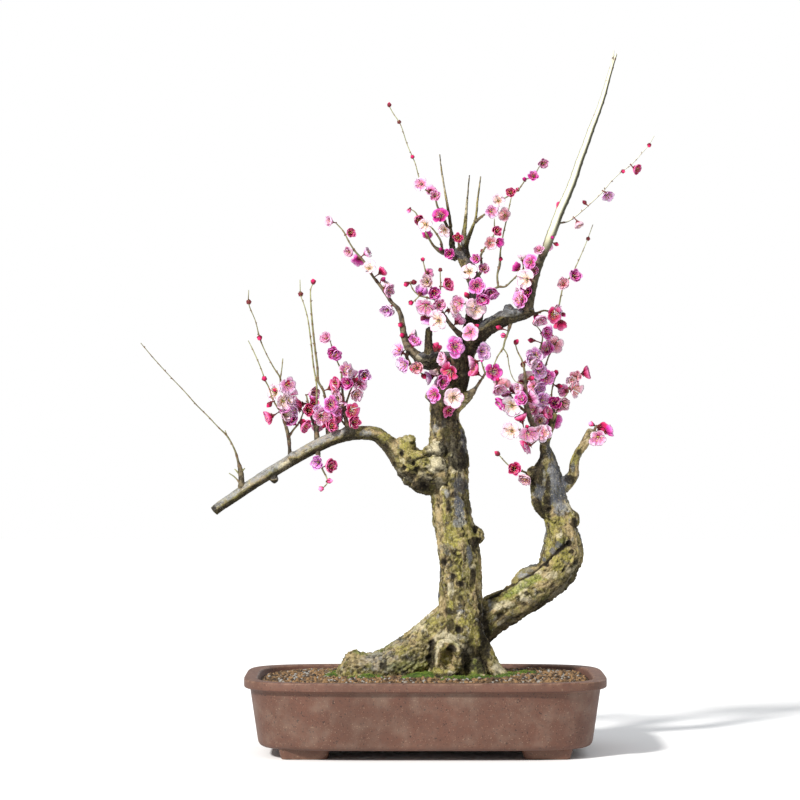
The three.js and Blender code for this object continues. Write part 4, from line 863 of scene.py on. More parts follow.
# The long left limb grows out of a burl and bends down towards its sawn end. Its top is pale grey,
# partly weathered bark and partly painted light, and its underside is painted dark as shade.
LEFT_LIMB = [
    (50, -7, 241, 24), (31, -11, 244, 27.5), (15, -15, 252, 23), (3, -18, 262, 16.5), (-6, -20, 270, 12),
    (-15, -23, 278.5, 9.3), (-28, -27, 289, 8.7), (-45, -31, 291, 8.3), (-62, -34, 289, 8),
    (-80, -37, 284, 8), (-100, -40, 275, 7.8), (-120, -42, 264, 7.4), (-140, -43, 252, 7.1),
    (-160, -44, 240, 7), (-180, -44, 227, 6.6), (-200, -43, 213, 6.2), (-215, -42, 203, 6),
    (-221, -42, 198, 5.8),
]
LIMB_KNOBS = [
    ((43, -27, 252), 11.5), ((44, -25, 272), 11),
    ((7, -20, 274), 11.5), ((14, -30, 262), 9), ((28, -34, 252), 9), ((22, -34, 232), 8),
    ((10, -30, 244), 7), ((34, -32, 270), 6), ((2, -28, 257), 6), ((0, -24, 280), 5), ((13, -26, 282), 5.5),
    ((22, -34, 264), 5), ((36, -36, 244), 5.5), ((18, -36, 250), 4.5), ((30, -36, 234), 5),
    ((10, -34, 235), 4.5), ((-8, -24, 270), 5), ((40, -32, 258), 5),
    ((-127, -46, 262), 6.5), ((-149, -46, 236), 5), ((-64, -36, 292), 6.5),
]
LIMB_MARKS = [
    (2, 266, 3, 4, "dark", 0.7), (12, 261, 2.5, 3.5, "dark", 0.6), (16, 255, 2.5, 3, "dark", 0.75),
    (4, 249, 3.5, 3.5, "dark", 0.75), (17, 241, 2.5, 4, "dark", 0.7), (28, 230, 14, 9, "dark", 0.9),
    (10, 239, 13, 6, "dark", 0.9), (20, 258, 18, 20, "yellow", 0.6), (5, 277, 8, 9, "yellow", 0.65),
    (25, 243, 4, 3, "pale", 0.6), (3, 258, 4, 3, "pale", 0.5), (8, 284, 7, 4, "pale", 0.4),
    (-6, 275, 4, 9, "tan", 0.9), (-19, 286, 8, 5, "yellow", 0.85), (-28, 284, 4, 5, "dark", 0.6),
    (-41, 290, 7, 5, "silver", 0.7), (-60, 290, 8, 9, "dark", 0.9), (-221, 197, 4, 7, "dark", 1),
    (-127, 258, 4, 5, "yellow", 0.8), (-101, 274, 6, 3, "yellow", 0.4), (-149, 240, 6, 4, "dark", 0.8),
]
LIMB_DENTS = [(2, 266, 3, 2.4), (12, 261, 2.6, 1.8), (16, 255, 2.4, 2), (4, 249, 3.2, 2.4), (28, 229, 5, 3),
              (17, 241, 2.4, 1.8), (32, 254, 3, 1.6)]

limb_lines = [smooth_line(LEFT_LIMB, 3)]
limb_shells = [tube(limb_lines[0], 24, tip=0.15), *(swelling(*knob) for knob in LIMB_KNOBS)]
skin, faces = grown_together(limb_shells, grain=1.0, easing=1)
skin, facing, values = barked(skin, faces, limb_lines, LIMB_MARKS + TRUNK_MARKS, LIMB_DENTS,
                              seed=90, fluted=0.7, plates=(7, 13), smooth_past=-55)
# Pale grey on top, partly weathered and partly painted light, and dark underneath as painted shade.
out_along = falling(skin[:, 0], -75, -40)
lichen = rising(layered(skin / 9, 96, 3), -0.5, 0.35)
strengthen(values, "silver", out_along * (0.7 + 0.3 * lichen) * rising(facing[:, 2], -0.5, 0.5))
strengthen(values, "dark", falling(facing[:, 2], -0.6, 0.35 - 0.15 * lichen) * (0.65 + 0.25 * out_along))
add_piece("left_limb", skin + TREE_FOOT, faces, bark_finish, "bark", "wood", **values)


# The crown's limbs: the leader's forks, the limb to the right with its stub, and the dark broken
# limb on the left of the leader. Their bark is younger and lies closer.
CROWN_LIMBS = [
    [(66, 22, 500, 5.2), (63, 22, 516, 4), (61, 22, 540, 2.5), (58, 22, 560, 1.9), (54, 23, 583, 1.4),
     (50, 25, 608, 1), (48, 26, 627, 0.8)],
    [(80, 17, 500, 5.6), (79, 14, 515, 4.2), (83, 11, 527, 2.7), (87, 8, 537, 2), (91, 6, 548, 1.5),
     (93, 6, 568, 1.2), (97, 7, 599, 0.9)],
    [(76, 20, 506, 4), (77, 24, 528, 3), (79, 26, 545, 2.2), (81, 28, 570, 1.5), (84, 30, 602, 1.1)],
    [(84, 2, 398, 12), (98, -3, 412, 11), (112, -8, 421, 10), (127, -13, 429, 10), (141, -17, 431, 8),
     (152, -20, 434, 6.5), (158, -22, 438, 5)],
    [(128, -13, 430, 8), (131, -13, 442, 5)],
    [(76, 3, 378, 9), (62, 5, 380, 8), (48, 8, 380, 8), (36, 11, 377, 10), (26, 13, 379, 8.5),
     (20, 14, 383, 5)],
    [(35, 11, 378, 7), (34, 10, 400, 5.2), (35, 9, 416, 4.6)],
]
CROWN_MARKS = [
    (44, 378, 24, 9, "dark", 0.85), (35, 402, 7, 20, "dark", 0.8), (128, 434, 18, 6, "silver", 0.7),
    (50, 388, 14, 3, "slate", 0.9), (105, 410, 12, 8, "dark", 0.6), (150, 434, 8, 5, "tan", 0.6),
    (75, 510, 4, 14, "silver", 0.9), (76, 536, 5, 24, "yellow", 0.8), (88, 532, 4, 14, "yellow", 0.8),
]

crown_lines = [smooth_line(places, 2.5) for places in CROWN_LIMBS]
skin, faces = grown_together([tube(line, 14) for line in crown_lines], grain=0.85, easing=1)
skin, facing, values = barked(skin, faces, crown_lines, CROWN_MARKS, [], seed=120,
                              rough=1.1, fluted=0.5, plates=(6, 10))

# The limbs are painted grey on top as light and dark underneath as shade. The thin shoots over them are
# pale, and painted dark on their right side alone as shade.
shoot = rising(skin[:, 2], 525, 560)
strengthen(values, "slate", 0.9 * rising(facing[:, 2], -0.1, 0.5) * (1 - shoot))
strengthen(values, "dark", (0.3 + 0.55 * falling(facing[:, 2], -0.3, 0.4)) * (1 - shoot))
strengthen(values, "dark", shoot * (0.15 + 0.6 * rising(facing[:, 0], 0.1, 0.7)))
add_piece("crown_limbs", skin + TREE_FOOT, faces, bark_finish, "bark", "wood", **values)


# Bare shoots on the far end of the left limb, and the twigs of every spray: smooth young wood with a
# swollen node where each leaf stood, brown when older and pale green when young.
BARE_SHOOTS = [
    [(-188, -44, 220, 5), (-188, -46, 232, 4), (-189, -48, 246, 3.2), (-192, -50, 258, 2),
     (-194, -52, 266, 1.8), (-198, -54, 276, 1.4), (-205, -57, 288, 1.5), (-214, -60, 297, 1.1),
     (-227, -64, 311, 1), (-240, -67, 324, 1), (-254, -70, 340, 0.9), (-272, -73, 359, 0.8),
     (-290, -76, 379, 0.8), (-305, -78, 397, 0.7)],
    [(-188, -46, 228, 2.6), (-192, -44, 234, 1.6), (-197, -42, 239, 1.2), (-203, -40, 243, 0.9)],
    [(-189, -48, 244, 2), (-184, -50, 249, 1)],
    [(-190, -48, 242, 2), (-196, -46, 248, 1)],
    [(-204, -57, 286, 1.4), (-207, -54, 294, 0.8)],
]
NODE_SPACING = 13
NODES_UP_TO = 3.2
# The heights between which the tall shoot on the right turns from dark to pale, where it is young and
# painted near-white as a highlight.
PALE_FROM, PALE_AT = 500, 545


def twig_bark():
    """Smooth twig bark: brown with pale dots where it is older, pale green where it is young, and
    red-brown at the nodes. On the tall shoot a near-white painted highlight and a dark olive painted
    shade side lie over it."""
    twig = Finish("twig_bark")
    old = twig.over(
        twig.blend("332c20", "6f634a", twig.noise(5, 4).between(0.35, 0.65)),
        ("aaa18a", twig.noise(1.4, 2).between(0.62, 0.75) * 0.4),
    )
    young = twig.over(
        twig.blend("74753f", "a6a674", twig.noise(9, 3).between(0.3, 0.7)),
        ("7d6850", twig.noise(4, 3).between(0.5, 0.75) * 0.5),
    )
    colour = twig.over(
        old,
        (young, twig.given("young")),
        # A near-white painted highlight and a dark olive painted shade, on the tall shoot alone.
        ("f1efd2", twig.given("cream_highlight") * twig.noise(14, 3).between(0.15, 0.4)),
        ("2b2b12", twig.given("olive") * 0.98),
        ("6a3a2a", twig.given("node") * 0.6),
    )
    normal = twig.bump(twig.noise(1.1, 3) * 0.6 + twig.noise(3.5, 2) * 0.4, 0.35)
    rough = 0.62 - 0.14 * twig.given("young")
    return twig.show(twig.skin(colour, rough, normal, **{"Specular IOR Level": 0.3}))


def bud_on(place, facing, length, girth):
    """A small pointed bud: a six-sided tube whose radius is the girth times a leaning hump."""
    share = np.linspace(0, 1, 6)
    radius = girth * (0.62 + 1.5 * share) * (1 - share ** 1.6) + 0.04
    line = np.column_stack([place + np.outer(share * length, facing), radius])
    return tube(line, 6, tip=0.3)


def noded_twig(places, sides, seed, cream_highlight=0.0):
    """A twig with its nodes. The radius of its smooth line swells by a narrow bell curve at every
    node, and a bud sits there, on alternate sides. Gives the skin and the values of its points. The
    tall shoot is young and pale in its upper part, painted near-white there as a highlight, with a
    dark olive right side and a thin dark left edge painted as shade."""
    line = smooth_line(places, 1.6 if places[0][3] < 3 else 2.4)
    run = run_of(line)
    chance = np.random.default_rng(seed)
    nodes = np.arange(NODE_SPACING * 0.6, run[-1] - 3, NODE_SPACING)
    nodes = nodes + chance.uniform(-3, 3, len(nodes))
    apart = np.abs(run[:, None] - nodes[None]) if len(nodes) else np.full((len(run), 1), 99.0)
    node = np.exp(-(apart.min(axis=1) / 1.5) ** 2)
    radius = line[:, 3].copy()
    young = falling(radius, 1.1, 2.3) * (0.75 + 0.25 * np.sin(seed))
    slim = 0.66 + 0.34 * rising(radius, 0.9, 3.6)
    line[:, 3] = radius * slim + node * (0.12 + 0.09 * radius * (1 - young))
    unevenness = 1 + (0.08 - 0.05 * young) * layered(line[:, :3] / 6, seed, 2) * (1 - 0.7 * cream_highlight)
    skin, faces = tube(line, sides, unevenness[:, None], tip=0.8)

    rows = {"young": np.maximum(young, cream_highlight * rising(line[:, 2], PALE_FROM, PALE_AT)),
            "node": node * falling(radius, 2, NODES_UP_TO)}
    values = {key: np.append(np.repeat(row, sides), row[[0, -1]]) for key, row in rows.items()}
    # The near-white painted highlight covers all but the far left edge of the upper part; painted olive
    # shade lies on the right side and, thinner, on the left edge.
    right = outward(skin, faces)[:, 0]
    high = rising(skin[:, 2], PALE_FROM, PALE_AT)
    values["cream_highlight"] = cream_highlight * high * rising(right, -0.95, -0.7)
    values["olive"] = cream_highlight * ((1 - 0.4 * (1 - high)) * rising(right, 0.05, 0.35)
                               + 0.6 * falling(right, -0.9, -0.7))

    shells, parts = [(skin, faces)], [values]
    along, across, over = carried_frame(line)
    for order, place in enumerate(nodes):
        at = np.abs(run - place).argmin()
        turn = 2.4 * order + seed
        side = math.cos(turn) * across[at] + math.sin(turn) * over[at]
        if radius[at] < NODES_UP_TO:
            size = chance.uniform(0.6, 1.1) * (0.75 + 0.15 * radius[at])
            foot = line[at, :3] + side * radius[at] * 0.7
            bud = bud_on(foot, unit(side + 1.3 * along[at]), 2.1 * size, 0.5 * size)
            shells.append(bud)
            parts.append({key: np.full(len(bud[0]), 0.8 * (key == "node")) for key in values})
    return *joined(shells), {key: np.concatenate([part[key] for part in parts]) for key in values}


def twigs_together(name, twigs, replaced, seed, cream_highlight=0.0):
    """One piece of all the twigs, each a closed skin, rooted in one another."""
    made = [noded_twig(places, 10 if places[0][3] > 2.5 else 8, seed + order, cream_highlight)
            for order, places in enumerate(twigs)]
    points, faces = joined([part[:2] for part in made])
    values = {key: np.concatenate([part[2][key] for part in made]) for key in made[0][2]}
    add_piece(name, points + TREE_FOOT, faces, twig_finish, "bark", replaced, **values)


twig_finish = twig_bark()
twigs_together("bare_shoots", BARE_SHOOTS, "wood", 300)


# The sprays: twigs with single five-petalled flowers, half-open flowers and buds on short stalks,
# straight on the wood before any leaf. A bloom is (x, z, side, kind, tone): it grows from the nearest
# point of its twigs, and stands off it by side times its kind's distance, forwards below zero.
SPRAYS = {}
SPRAYS["spray_mid_left"] = ([
    [(25, 13, 380, 7), (17, 15, 386, 6), (9, 18, 395, 5), (5, 21, 407, 4.3), (3, 24, 420, 3.6),
     (1, 27, 432, 3.2), (-3, 29, 441, 2.9), (-10, 31, 448, 2.6), (-18, 33, 460, 2.5),
     (-26, 35, 471, 2.3), (-33, 37, 480, 2), (-43, 39, 497, 1.8), (-55, 41, 511, 1.6),
     (-62, 42, 522, 1.4), (-69, 43, 535, 1.3), (-78, 44, 545, 1.1)],
    [(12, 17, 391, 3.4), (8, 10, 383, 2.6), (12, 2, 374, 2), (20, -2, 366, 1.5), (27, -1, 361, 1.1)],
], [
    (-83, 546, -0.5, "half", "pink"), (-62, 532, -0.8, "half", "crimson"),
    (-60, 510, -1, "half", "pink"), (-50, 501, 0.8, "open", "magenta"),
    (-42, 507, -0.6, "half", "pink"), (-37, 489, -1.4, "open", "pale"),
    (-24, 484, 0.4, "half", "crimson"), (-21, 475, -1, "bud", "dark"), (-17, 463, -1, "half", "pink"),
    (-14, 440, -0.6, "half", "lilac"), (1, 421, -1.2, "bud", "crimson"), (3, 408, -1, "bud", "crimson"),
    (13, 406, 0.6, "half", "salmon"), (16, 397, -1.4, "half", "magenta"),
    (1, 388, -1.2, "open", "lilac"), (7, 373, -0.6, "open", "lilac"), (21, 368, -0.9, "half", "salmon"),
    (28, 359, -0.3, "bud", "crimson"),
])
SPRAYS["spray_centre_left"] = ([
    [(76, -2, 405, 4), (66, -10, 414, 3), (56, -18, 426, 2.6), (47, -24, 440, 2.4), (40, -28, 455, 2.1),
     (35, -31, 470, 1.7), (30, -33, 485, 1.3), (27, -34, 497, 0.9)],
    [(42, -27, 450, 1.8), (32, -30, 452, 1.5), (22, -33, 455, 1.2), (15, -35, 462, 1.1),
     (12, -36, 470, 1)],
    [(46, -25, 442, 1.6), (36, -26, 434, 1.3), (30, -27, 430, 1.1)],
    [(24, -32, 455, 1.2), (17, -30, 448, 1.1), (11, -30, 444, 0.9)],
    [(42, -27, 452, 1.6), (48, -26, 462, 1.4), (48, -25, 478, 1), (48, -25, 484, 0.9)],
], [
    (46, 424, -2.4, "wide", "pale"), (60, 437, -1.2, "open", "pale"), (46, 443, -1.8, "half", "pink"),
    (31, 443, -1.3, "wide", "pink"), (24, 457, 0.8, "half", "lilac"), (13, 446, -1, "bud", "crimson"),
    (8, 468, -0.6, "bud", "crimson"), (16, 470, 0.8, "bud", "crimson"),
    (40, 458, -1.2, "half", "magenta"), (33, 470, -0.7, "half", "pale"), (33, 481, 0.8, "half", "pink"),
    (27, 497, -0.4, "bud", "crimson"), (54, 466, -0.7, "half", "crimson"),
    (48, 485, 0.2, "bud", "crimson"), (28, 428, 0.4, "bud", "dark"), (37, 429, 0.9, "half", "dark"),
    (68, 423, 0.8, "half", "pink"),
])
SPRAYS["spray_trunk_low"] = ([
    [(54, -10, 322, 4), (52, -22, 330, 3), (48, -30, 340, 2), (50, -31, 352, 1.4)],
    [(52, -22, 330, 2.4), (60, -26, 332, 1.6)],
], [
    (42, 337, -1, "open", "magenta"), (64, 333, -1, "wide", "pale"), (55, 320, -1, "half", "crimson"),
    (50, 352, -0.7, "half", "magenta"),
])
SPRAYS["spray_trunk_mid"] = ([
    [(72, 2, 368, 3.4), (66, -12, 370, 2.8), (62, -18, 378, 2.2), (62, -20, 392, 1.6)],
], [
    (60, 365, -1.1, "wide", "crimson"), (65, 393, -1, "wide", "magenta"),
    (54, 379, -0.3, "half", "pink"),
])
SPRAYS["spray_junction"] = ([
    [(84, 0, 403, 3.4), (85, -14, 410, 2.4), (85, -20, 412, 1.6)],
], [
    (84, 411, -1.2, "open", "pink"), (90, 417, -0.6, "bud", "crimson"),
])
SPRAYS["spray_leader_low"] = ([
    [(90, 4, 438, 3.4), (88, -8, 442, 2.6), (82, -12, 446, 1.8), (76, -13, 445, 1.3)],
    [(88, -7, 442, 2.2), (97, -7, 447, 1.8), (103, -5, 455, 1.6), (107, -5, 462, 1.2)],
], [
    (90, 440, -1.4, "wide", "pale"), (72, 445, -1.2, "open", "pink"),
    (99, 451, -1.4, "half", "magenta"), (108, 461, -0.8, "half", "magenta"),
    (80, 455, -0.6, "bud", "crimson"),
])
SPRAYS["spray_leader_high"] = ([
    [(88, 14, 476, 3), (88, 2, 478, 2.4), (85, -4, 481, 1.8)],
    [(88, 1, 478, 2), (91, -3, 473, 1.8), (92, -6, 468, 1.5)],
], [
    (83, 484, -1, "wide", "pale"), (92, 467, -1, "open", "magenta"),
])
SPRAYS["spray_leader_right"] = ([
    [(88, 14, 474, 3.4), (97, 12, 484, 2.4), (98, 8, 494, 2.1), (97, 4, 503, 2), (101, -2, 511, 1.6),
     (107, -5, 520, 1.4), (113, -7, 529, 1.3), (113, -8, 541, 1.1), (113, -9, 547, 0.8)],
], [
    (100, 487, -0.9, "half", "pink"), (93, 499, -1.1, "half", "magenta"),
    (99, 509, 0.9, "bud", "crimson"), (107, 518, -1.1, "open", "salmon"),
    (114, 532, -1, "half", "crimson"), (117, 520, 0.8, "half", "magenta"),
])
SPRAYS["spray_fork_left"] = ([
    [(68, 20, 503, 4.4), (58, 17, 506, 3.4), (48, 14, 510, 3.2), (41, 12, 515, 2), (35, 10, 524, 1.7),
     (29, 9, 535, 1.5), (23, 8, 546, 1.3), (19, 7, 555, 1.1), (12, 6, 560, 0.9)],
    [(51, 15, 509, 2.2), (49, 11, 521, 1.8), (43, 8, 531, 1.5), (38, 6, 537, 1.2), (33, 4, 541, 1)],
], [
    (22, 548, -0.8, "half", "crimson"), (31, 540, -1.6, "open", "pale"),
    (32, 527, 0.9, "half", "magenta"), (60, 506, -1, "half", "magenta"), (49, 511, -1.3, "bud", "dark"),
    (11, 558, -0.5, "bud", "pink"),
])
SPRAYS["spray_leader_tip"] = ([
    [(61, 22, 530, 3), (55, 17, 543, 2.2), (50, 14, 553, 2), (45, 12, 563, 1.8), (42, 10, 573, 1.5),
     (36, 8, 579, 1.3), (28, 7, 585, 1.2), (23, 6, 597, 1), (18, 6, 615, 0.9), (9, 5, 636, 0.8),
     (0, 4, 662, 0.8), (-8, 4, 674, 0.8), (-13, 4, 683, 0.8)],
], [
    (49, 551, -1, "wide", "dark"), (42, 575, -0.8, "half", "pink"), (26, 589, -0.9, "open", "pink"),
    (54, 535, -0.9, "open", "pale"), (36, 582, 0.9, "half", "pink"), (-1, 664, 0.4, "bud", "crimson"),
    (-13, 684, 0, "bud", "crimson"), (15, 622, -0.4, "bud", "crimson"),
])
SPRAYS["spray_top_centre"] = ([
    [(73, 18, 508, 3.4), (71, 8, 516, 2), (70, 6, 522, 1.5)],
], [
    (70, 524, -0.8, "half", "crimson"),
])
SPRAYS["spray_fork_right"] = ([
    [(90, 7, 544, 2.8), (99, 3, 551, 1.8), (107, 0, 557, 1.6), (115, -3, 565, 1.4), (124, -5, 571, 1.3),
     (133, -7, 576, 1.2), (141, -8, 581, 1.1), (147, -9, 589, 1.1), (151, -10, 594, 1),
     (160, -11, 598, 1), (166, -12, 608, 0.9), (171, -12, 615, 0.9)],
], [
    (118, 568, -1.1, "open", "pale"), (109, 556, -0.7, "open", "pink"),
    (133, 577, -0.9, "half", "crimson"), (141, 582, 0.7, "bud", "pink"),
    (149, 594, -0.7, "bud", "dark"), (160, 597, -0.9, "half", "magenta"),
    (170, 613, -0.4, "half", "pink"),
])
SPRAYS["spray_right_low"] = ([
    [(94, 9, 449, 3.4), (104, 12, 458, 2), (112, 10, 463, 1.7), (119, 4, 466, 1.8), (126, -1, 466, 1.6),
     (134, -4, 473, 1.4), (142, -4, 481, 1.3), (148, -3, 488, 1.2)],
    [(118, 5, 466, 1.8), (117, 8, 480, 1.7), (120, 11, 493, 2), (121, 13, 510, 1.4),
     (124, 14, 528, 1.3), (128, 14, 546, 1.2), (131, 14, 560, 1.1), (134, 14, 574, 0.9)],
], [
    (142, 487, 0.6, "half", "dark"), (147, 498, -0.6, "half", "pale"), (126, 552, -1, "open", "salmon"),
    (121, 500, -0.8, "bud", "crimson"),
])
SPRAYS["spray_whip_right"] = ([
    [(152, -20, 434, 6.5), (155, -20, 448, 5.6), (158.5, -20, 465, 5), (163.5, -21, 484, 4.8),
     (169, -22, 500, 4.8), (175, -22, 513, 5), (178.5, -23, 523, 5.6), (183, -24, 534, 5.6),
     (190, -25, 553, 5.3), (199, -26, 573, 5), (207, -27, 593, 4.8), (213.5, -28, 613, 4.5),
     (221, -29, 633, 4.2), (228, -30, 653, 3.9), (235.8, -32, 673, 3.3), (242.5, -34, 693, 3.1),
     (248, -36, 713, 2.7), (254, -38, 733, 2.3), (257, -39, 741, 1.6)],
    [(249, -36, 716, 2.2), (252, -39, 731, 1.5), (254, -41, 745, 0.9)],
    [(190, -24, 541, 1.8), (200, -20, 543, 1.2), (209, -17, 549, 1.2), (221, -14, 559, 1.1),
     (233, -11, 570, 1), (243, -9, 580, 1), (253, -7, 592, 0.9), (266, -5, 604, 0.8),
     (277, -3, 612, 0.8), (289, -1, 625, 0.7), (299, 0, 637, 0.7), (305, 1, 647, 0.6)],
], [
    (151, 473, -2, "wide", "pale"), (156, 494, -1.9, "wide", "magenta"),
    (166, 507, -1.5, "half", "pink"), (176, 515, 0.9, "half", "pink"), (181, 524, -0.9, "bud", "dark"),
    (186, 516, -0.3, "bud", "crimson"), (146, 449, -1.2, "open", "magenta"),
    (153, 458, -1.2, "half", "dark"), (159, 484, -1.6, "half", "pink"),
    (193, 562, 0.5, "half", "crimson"), (233, 668, 0.4, "bud", "crimson"),
    (212, 542, -0.5, "half", "salmon"), (247, 576, -0.8, "open", "lilac"),
    (267, 604, -0.5, "bud", "crimson"), (281, 608, -0.7, "half", "crimson"),
    (299, 636, -0.5, "bud", "crimson"), (221, 566, 0.3, "bud", "crimson"),
])
SPRAYS["spray_right_side"] = ([
    [(150, -20, 432, 4), (164, -14, 434, 2), (172, -12, 437, 1.6), (181, -8, 436, 1.6),
     (189, -5, 440, 1.5), (193, -3, 455, 1.3), (197, -1, 470, 1.2), (205, 1, 478, 1.1),
     (211, 3, 490, 1), (217, 5, 503, 0.8), (225, 7, 522, 0.7), (232, 9, 541, 0.6)],
], [
    (182, 433, -1, "open", "crimson"), (192, 424, 0.4, "half", "crimson"),
    (166, 428, -0.8, "half", "pink"), (196, 468, -0.9, "half", "salmon"),
    (207, 478, -0.7, "half", "magenta"), (226, 524, 0.3, "bud", "crimson"),
])
SPRAYS["spray_hanging"] = ([
    [(132, -15, 422, 3), (129, -20, 411, 1.9), (125, -22, 400, 1.7), (123, -23, 392, 1.6),
     (117, -25, 383, 1.2), (112, -27, 372, 1.1)],
    [(123, -23, 392, 1.3), (128, -22, 384, 1.1), (130, -21, 372, 0.9), (133, -20, 360, 0.8),
     (138, -22, 352, 0.8), (146, -25, 350, 0.7)],
], [
    (119, 416, -0.9, "bud", "crimson"), (124, 407, 0.5, "bud", "pink"),
])
SPRAYS["spray_trunk_right"] = ([
    [(74, -2, 328, 6), (86, -8, 339, 4), (91, -10, 345, 2.4), (97, -12, 354, 2), (105, -14, 364, 1.7),
     (112, -15, 360, 1.4), (116, -16, 348, 1.1)],
    [(102, -13, 361, 1.5), (98, -12, 374, 1.3), (95, -12, 388, 1.1)],
], [
    (92, 362, -0.9, "half", "crimson"), (111, 364, -1, "open", "dark"),
    (117, 345, -0.7, "half", "pink"), (97, 388, -0.9, "open", "lilac"), (89, 376, -0.5, "half", "pink"),
])
SPRAYS["spray_limb_far"] = ([
    [(-130, -43, 256, 4), (-131, -46, 272, 2.4), (-132, -48, 285, 2.6), (-135, -50, 298, 2.4),
     (-139, -51, 310, 2.2), (-143, -50, 322, 2), (-144, -50, 336, 1.8), (-142, -50, 348, 1.6),
     (-142, -50, 356, 1.5), (-150, -51, 369, 1.2), (-159, -52, 386, 1), (-166, -53, 403, 1.2),
     (-171, -54, 423, 0.9), (-179, -55, 444, 1), (-179, -56, 460, 0.7)],
    [(-142, -50, 354, 1.3), (-140, -48, 368, 1), (-139, -47, 379, 0.9)],
    [(-140, -51, 314, 1.8), (-150, -60, 330, 1.4), (-155, -64, 345, 1.2), (-159, -66, 353, 1.3),
     (-164, -67, 367, 1), (-173, -68, 388, 1), (-179, -68, 400, 0.7)],
    [(-132, -48, 286, 2.2), (-127, -42, 294, 1.7), (-120, -38, 303, 1.5), (-115, -36, 315, 1.3)],
], [
    (-147, 338, -0.8, "open", "pale"), (-154, 325, -0.9, "bud", "crimson"),
    (-152, 311, -0.4, "half", "crimson"), (-134, 348, -1.2, "open", "pink"),
    (-139, 329, -1.6, "open", "pale"), (-130, 334, 0.9, "wide", "pink"),
    (-122, 318, -1, "open", "lilac"), (-137, 312, -1, "half", "pale"),
    (-126, 303, -0.9, "half", "magenta"), (-116, 301, -0.4, "half", "crimson"),
    (-110, 318, -0.8, "half", "crimson"), (-166, 404, -0.5, "bud", "crimson"),
    (-179, 446, 0.4, "bud", "crimson"), (-160, 355, -0.6, "bud", "crimson"),
])
SPRAYS["spray_limb_middle"] = ([
    [(-98, -40, 278, 4), (-100, -32, 294, 3), (-104, -24, 306, 2.6), (-108, -18, 316, 2.2),
     (-110, -15, 326, 1.8), (-112, -13, 336, 1.3)],
    [(-85, -37, 286, 3.4), (-87, -39, 306, 2.2), (-88, -41, 325, 2), (-91, -42, 341, 1.9),
     (-97, -42, 352, 1.9), (-98, -42, 368, 1.8), (-101, -42, 392, 1.7), (-104, -42, 420, 1.6),
     (-106, -41, 447, 1.3), (-106, -40, 462, 1), (-103, -39, 469, 0.9)],
    [(-99, -36, 284, 2.6), (-98, -38, 312, 2), (-99, -39, 330, 1.7), (-99, -40, 347, 1.5),
     (-103, -37, 372, 1.4), (-106, -36, 400, 1.3), (-110, -36, 428, 1.1), (-115, -36, 446, 0.9),
     (-118, -36, 454, 0.9), (-119, -36, 473, 0.7)],
], [
    (-106, 337, -0.9, "half", "salmon"), (-105, 322, -1.2, "half", "crimson"),
    (-94, 311, -1, "wide", "pink"), (-83, 344, 0.6, "half", "magenta"),
    (-83, 325, -1.4, "open", "magenta"), (-98, 300, 0.9, "half", "pink"),
    (-80, 331, 0.9, "half", "salmon"), (-79, 311, -0.6, "half", "crimson"),
    (-84, 298, -0.9, "half", "crimson"), (-103, 470, -0.4, "bud", "crimson"),
    (-118, 456, 0.5, "bud", "crimson"), (-117, 325, -0.4, "half", "crimson"),
])
SPRAYS["spray_limb_near"] = ([
    [(-60, -34, 288, 4.4), (-64, -37, 305, 2.8), (-66, -39, 320, 2.4), (-68, -41, 336, 2),
     (-69, -42, 352, 1.8), (-70, -42, 365, 1.4), (-75, -43, 377, 1.2), (-79, -43, 388, 1.1),
     (-83, -43, 400, 0.9)],
    [(-66, -39, 320, 1.9), (-60, -34, 338, 1.6), (-54, -31, 352, 1.3), (-45, -28, 362, 1)],
    [(-62, -36, 298, 2.4), (-70, -26, 306, 1.6), (-74, -20, 314, 1.2)],
], [
    (-86, 402, -0.5, "half", "pink"), (-78, 386, -0.9, "half", "magenta"),
    (-66, 364, -1.1, "open", "pink"), (-73, 349, -0.6, "half", "crimson"),
    (-61, 350, -1.8, "half", "magenta"), (-55, 355, 0.7, "open", "pink"),
    (-54, 338, -1.1, "half", "salmon"), (-43, 361, -0.8, "half", "lilac"),
    (-72, 331, -0.5, "half", "pale"), (-59, 318, -0.9, "open", "crimson"),
    (-57, 304, -0.9, "half", "crimson"), (-72, 314, -0.8, "half", "pink"),
    (-76, 300, 0.7, "half", "pale"),
])
SPRAYS["spray_limb_under"] = ([
    [(-99, -41, 272, 4), (-95, -46, 258, 1.9), (-92, -48, 248, 1.6), (-87, -50, 238, 1.3),
     (-86, -51, 232, 1.1), (-92, -52, 225, 0.9)],
], [
    (-96, 256, -0.7, "half", "lilac"), (-85, 252, -0.8, "half", "crimson"),
    (-84, 234, -0.4, "bud", "pink"), (-93, 225, -0.3, "bud", "pink"),
])
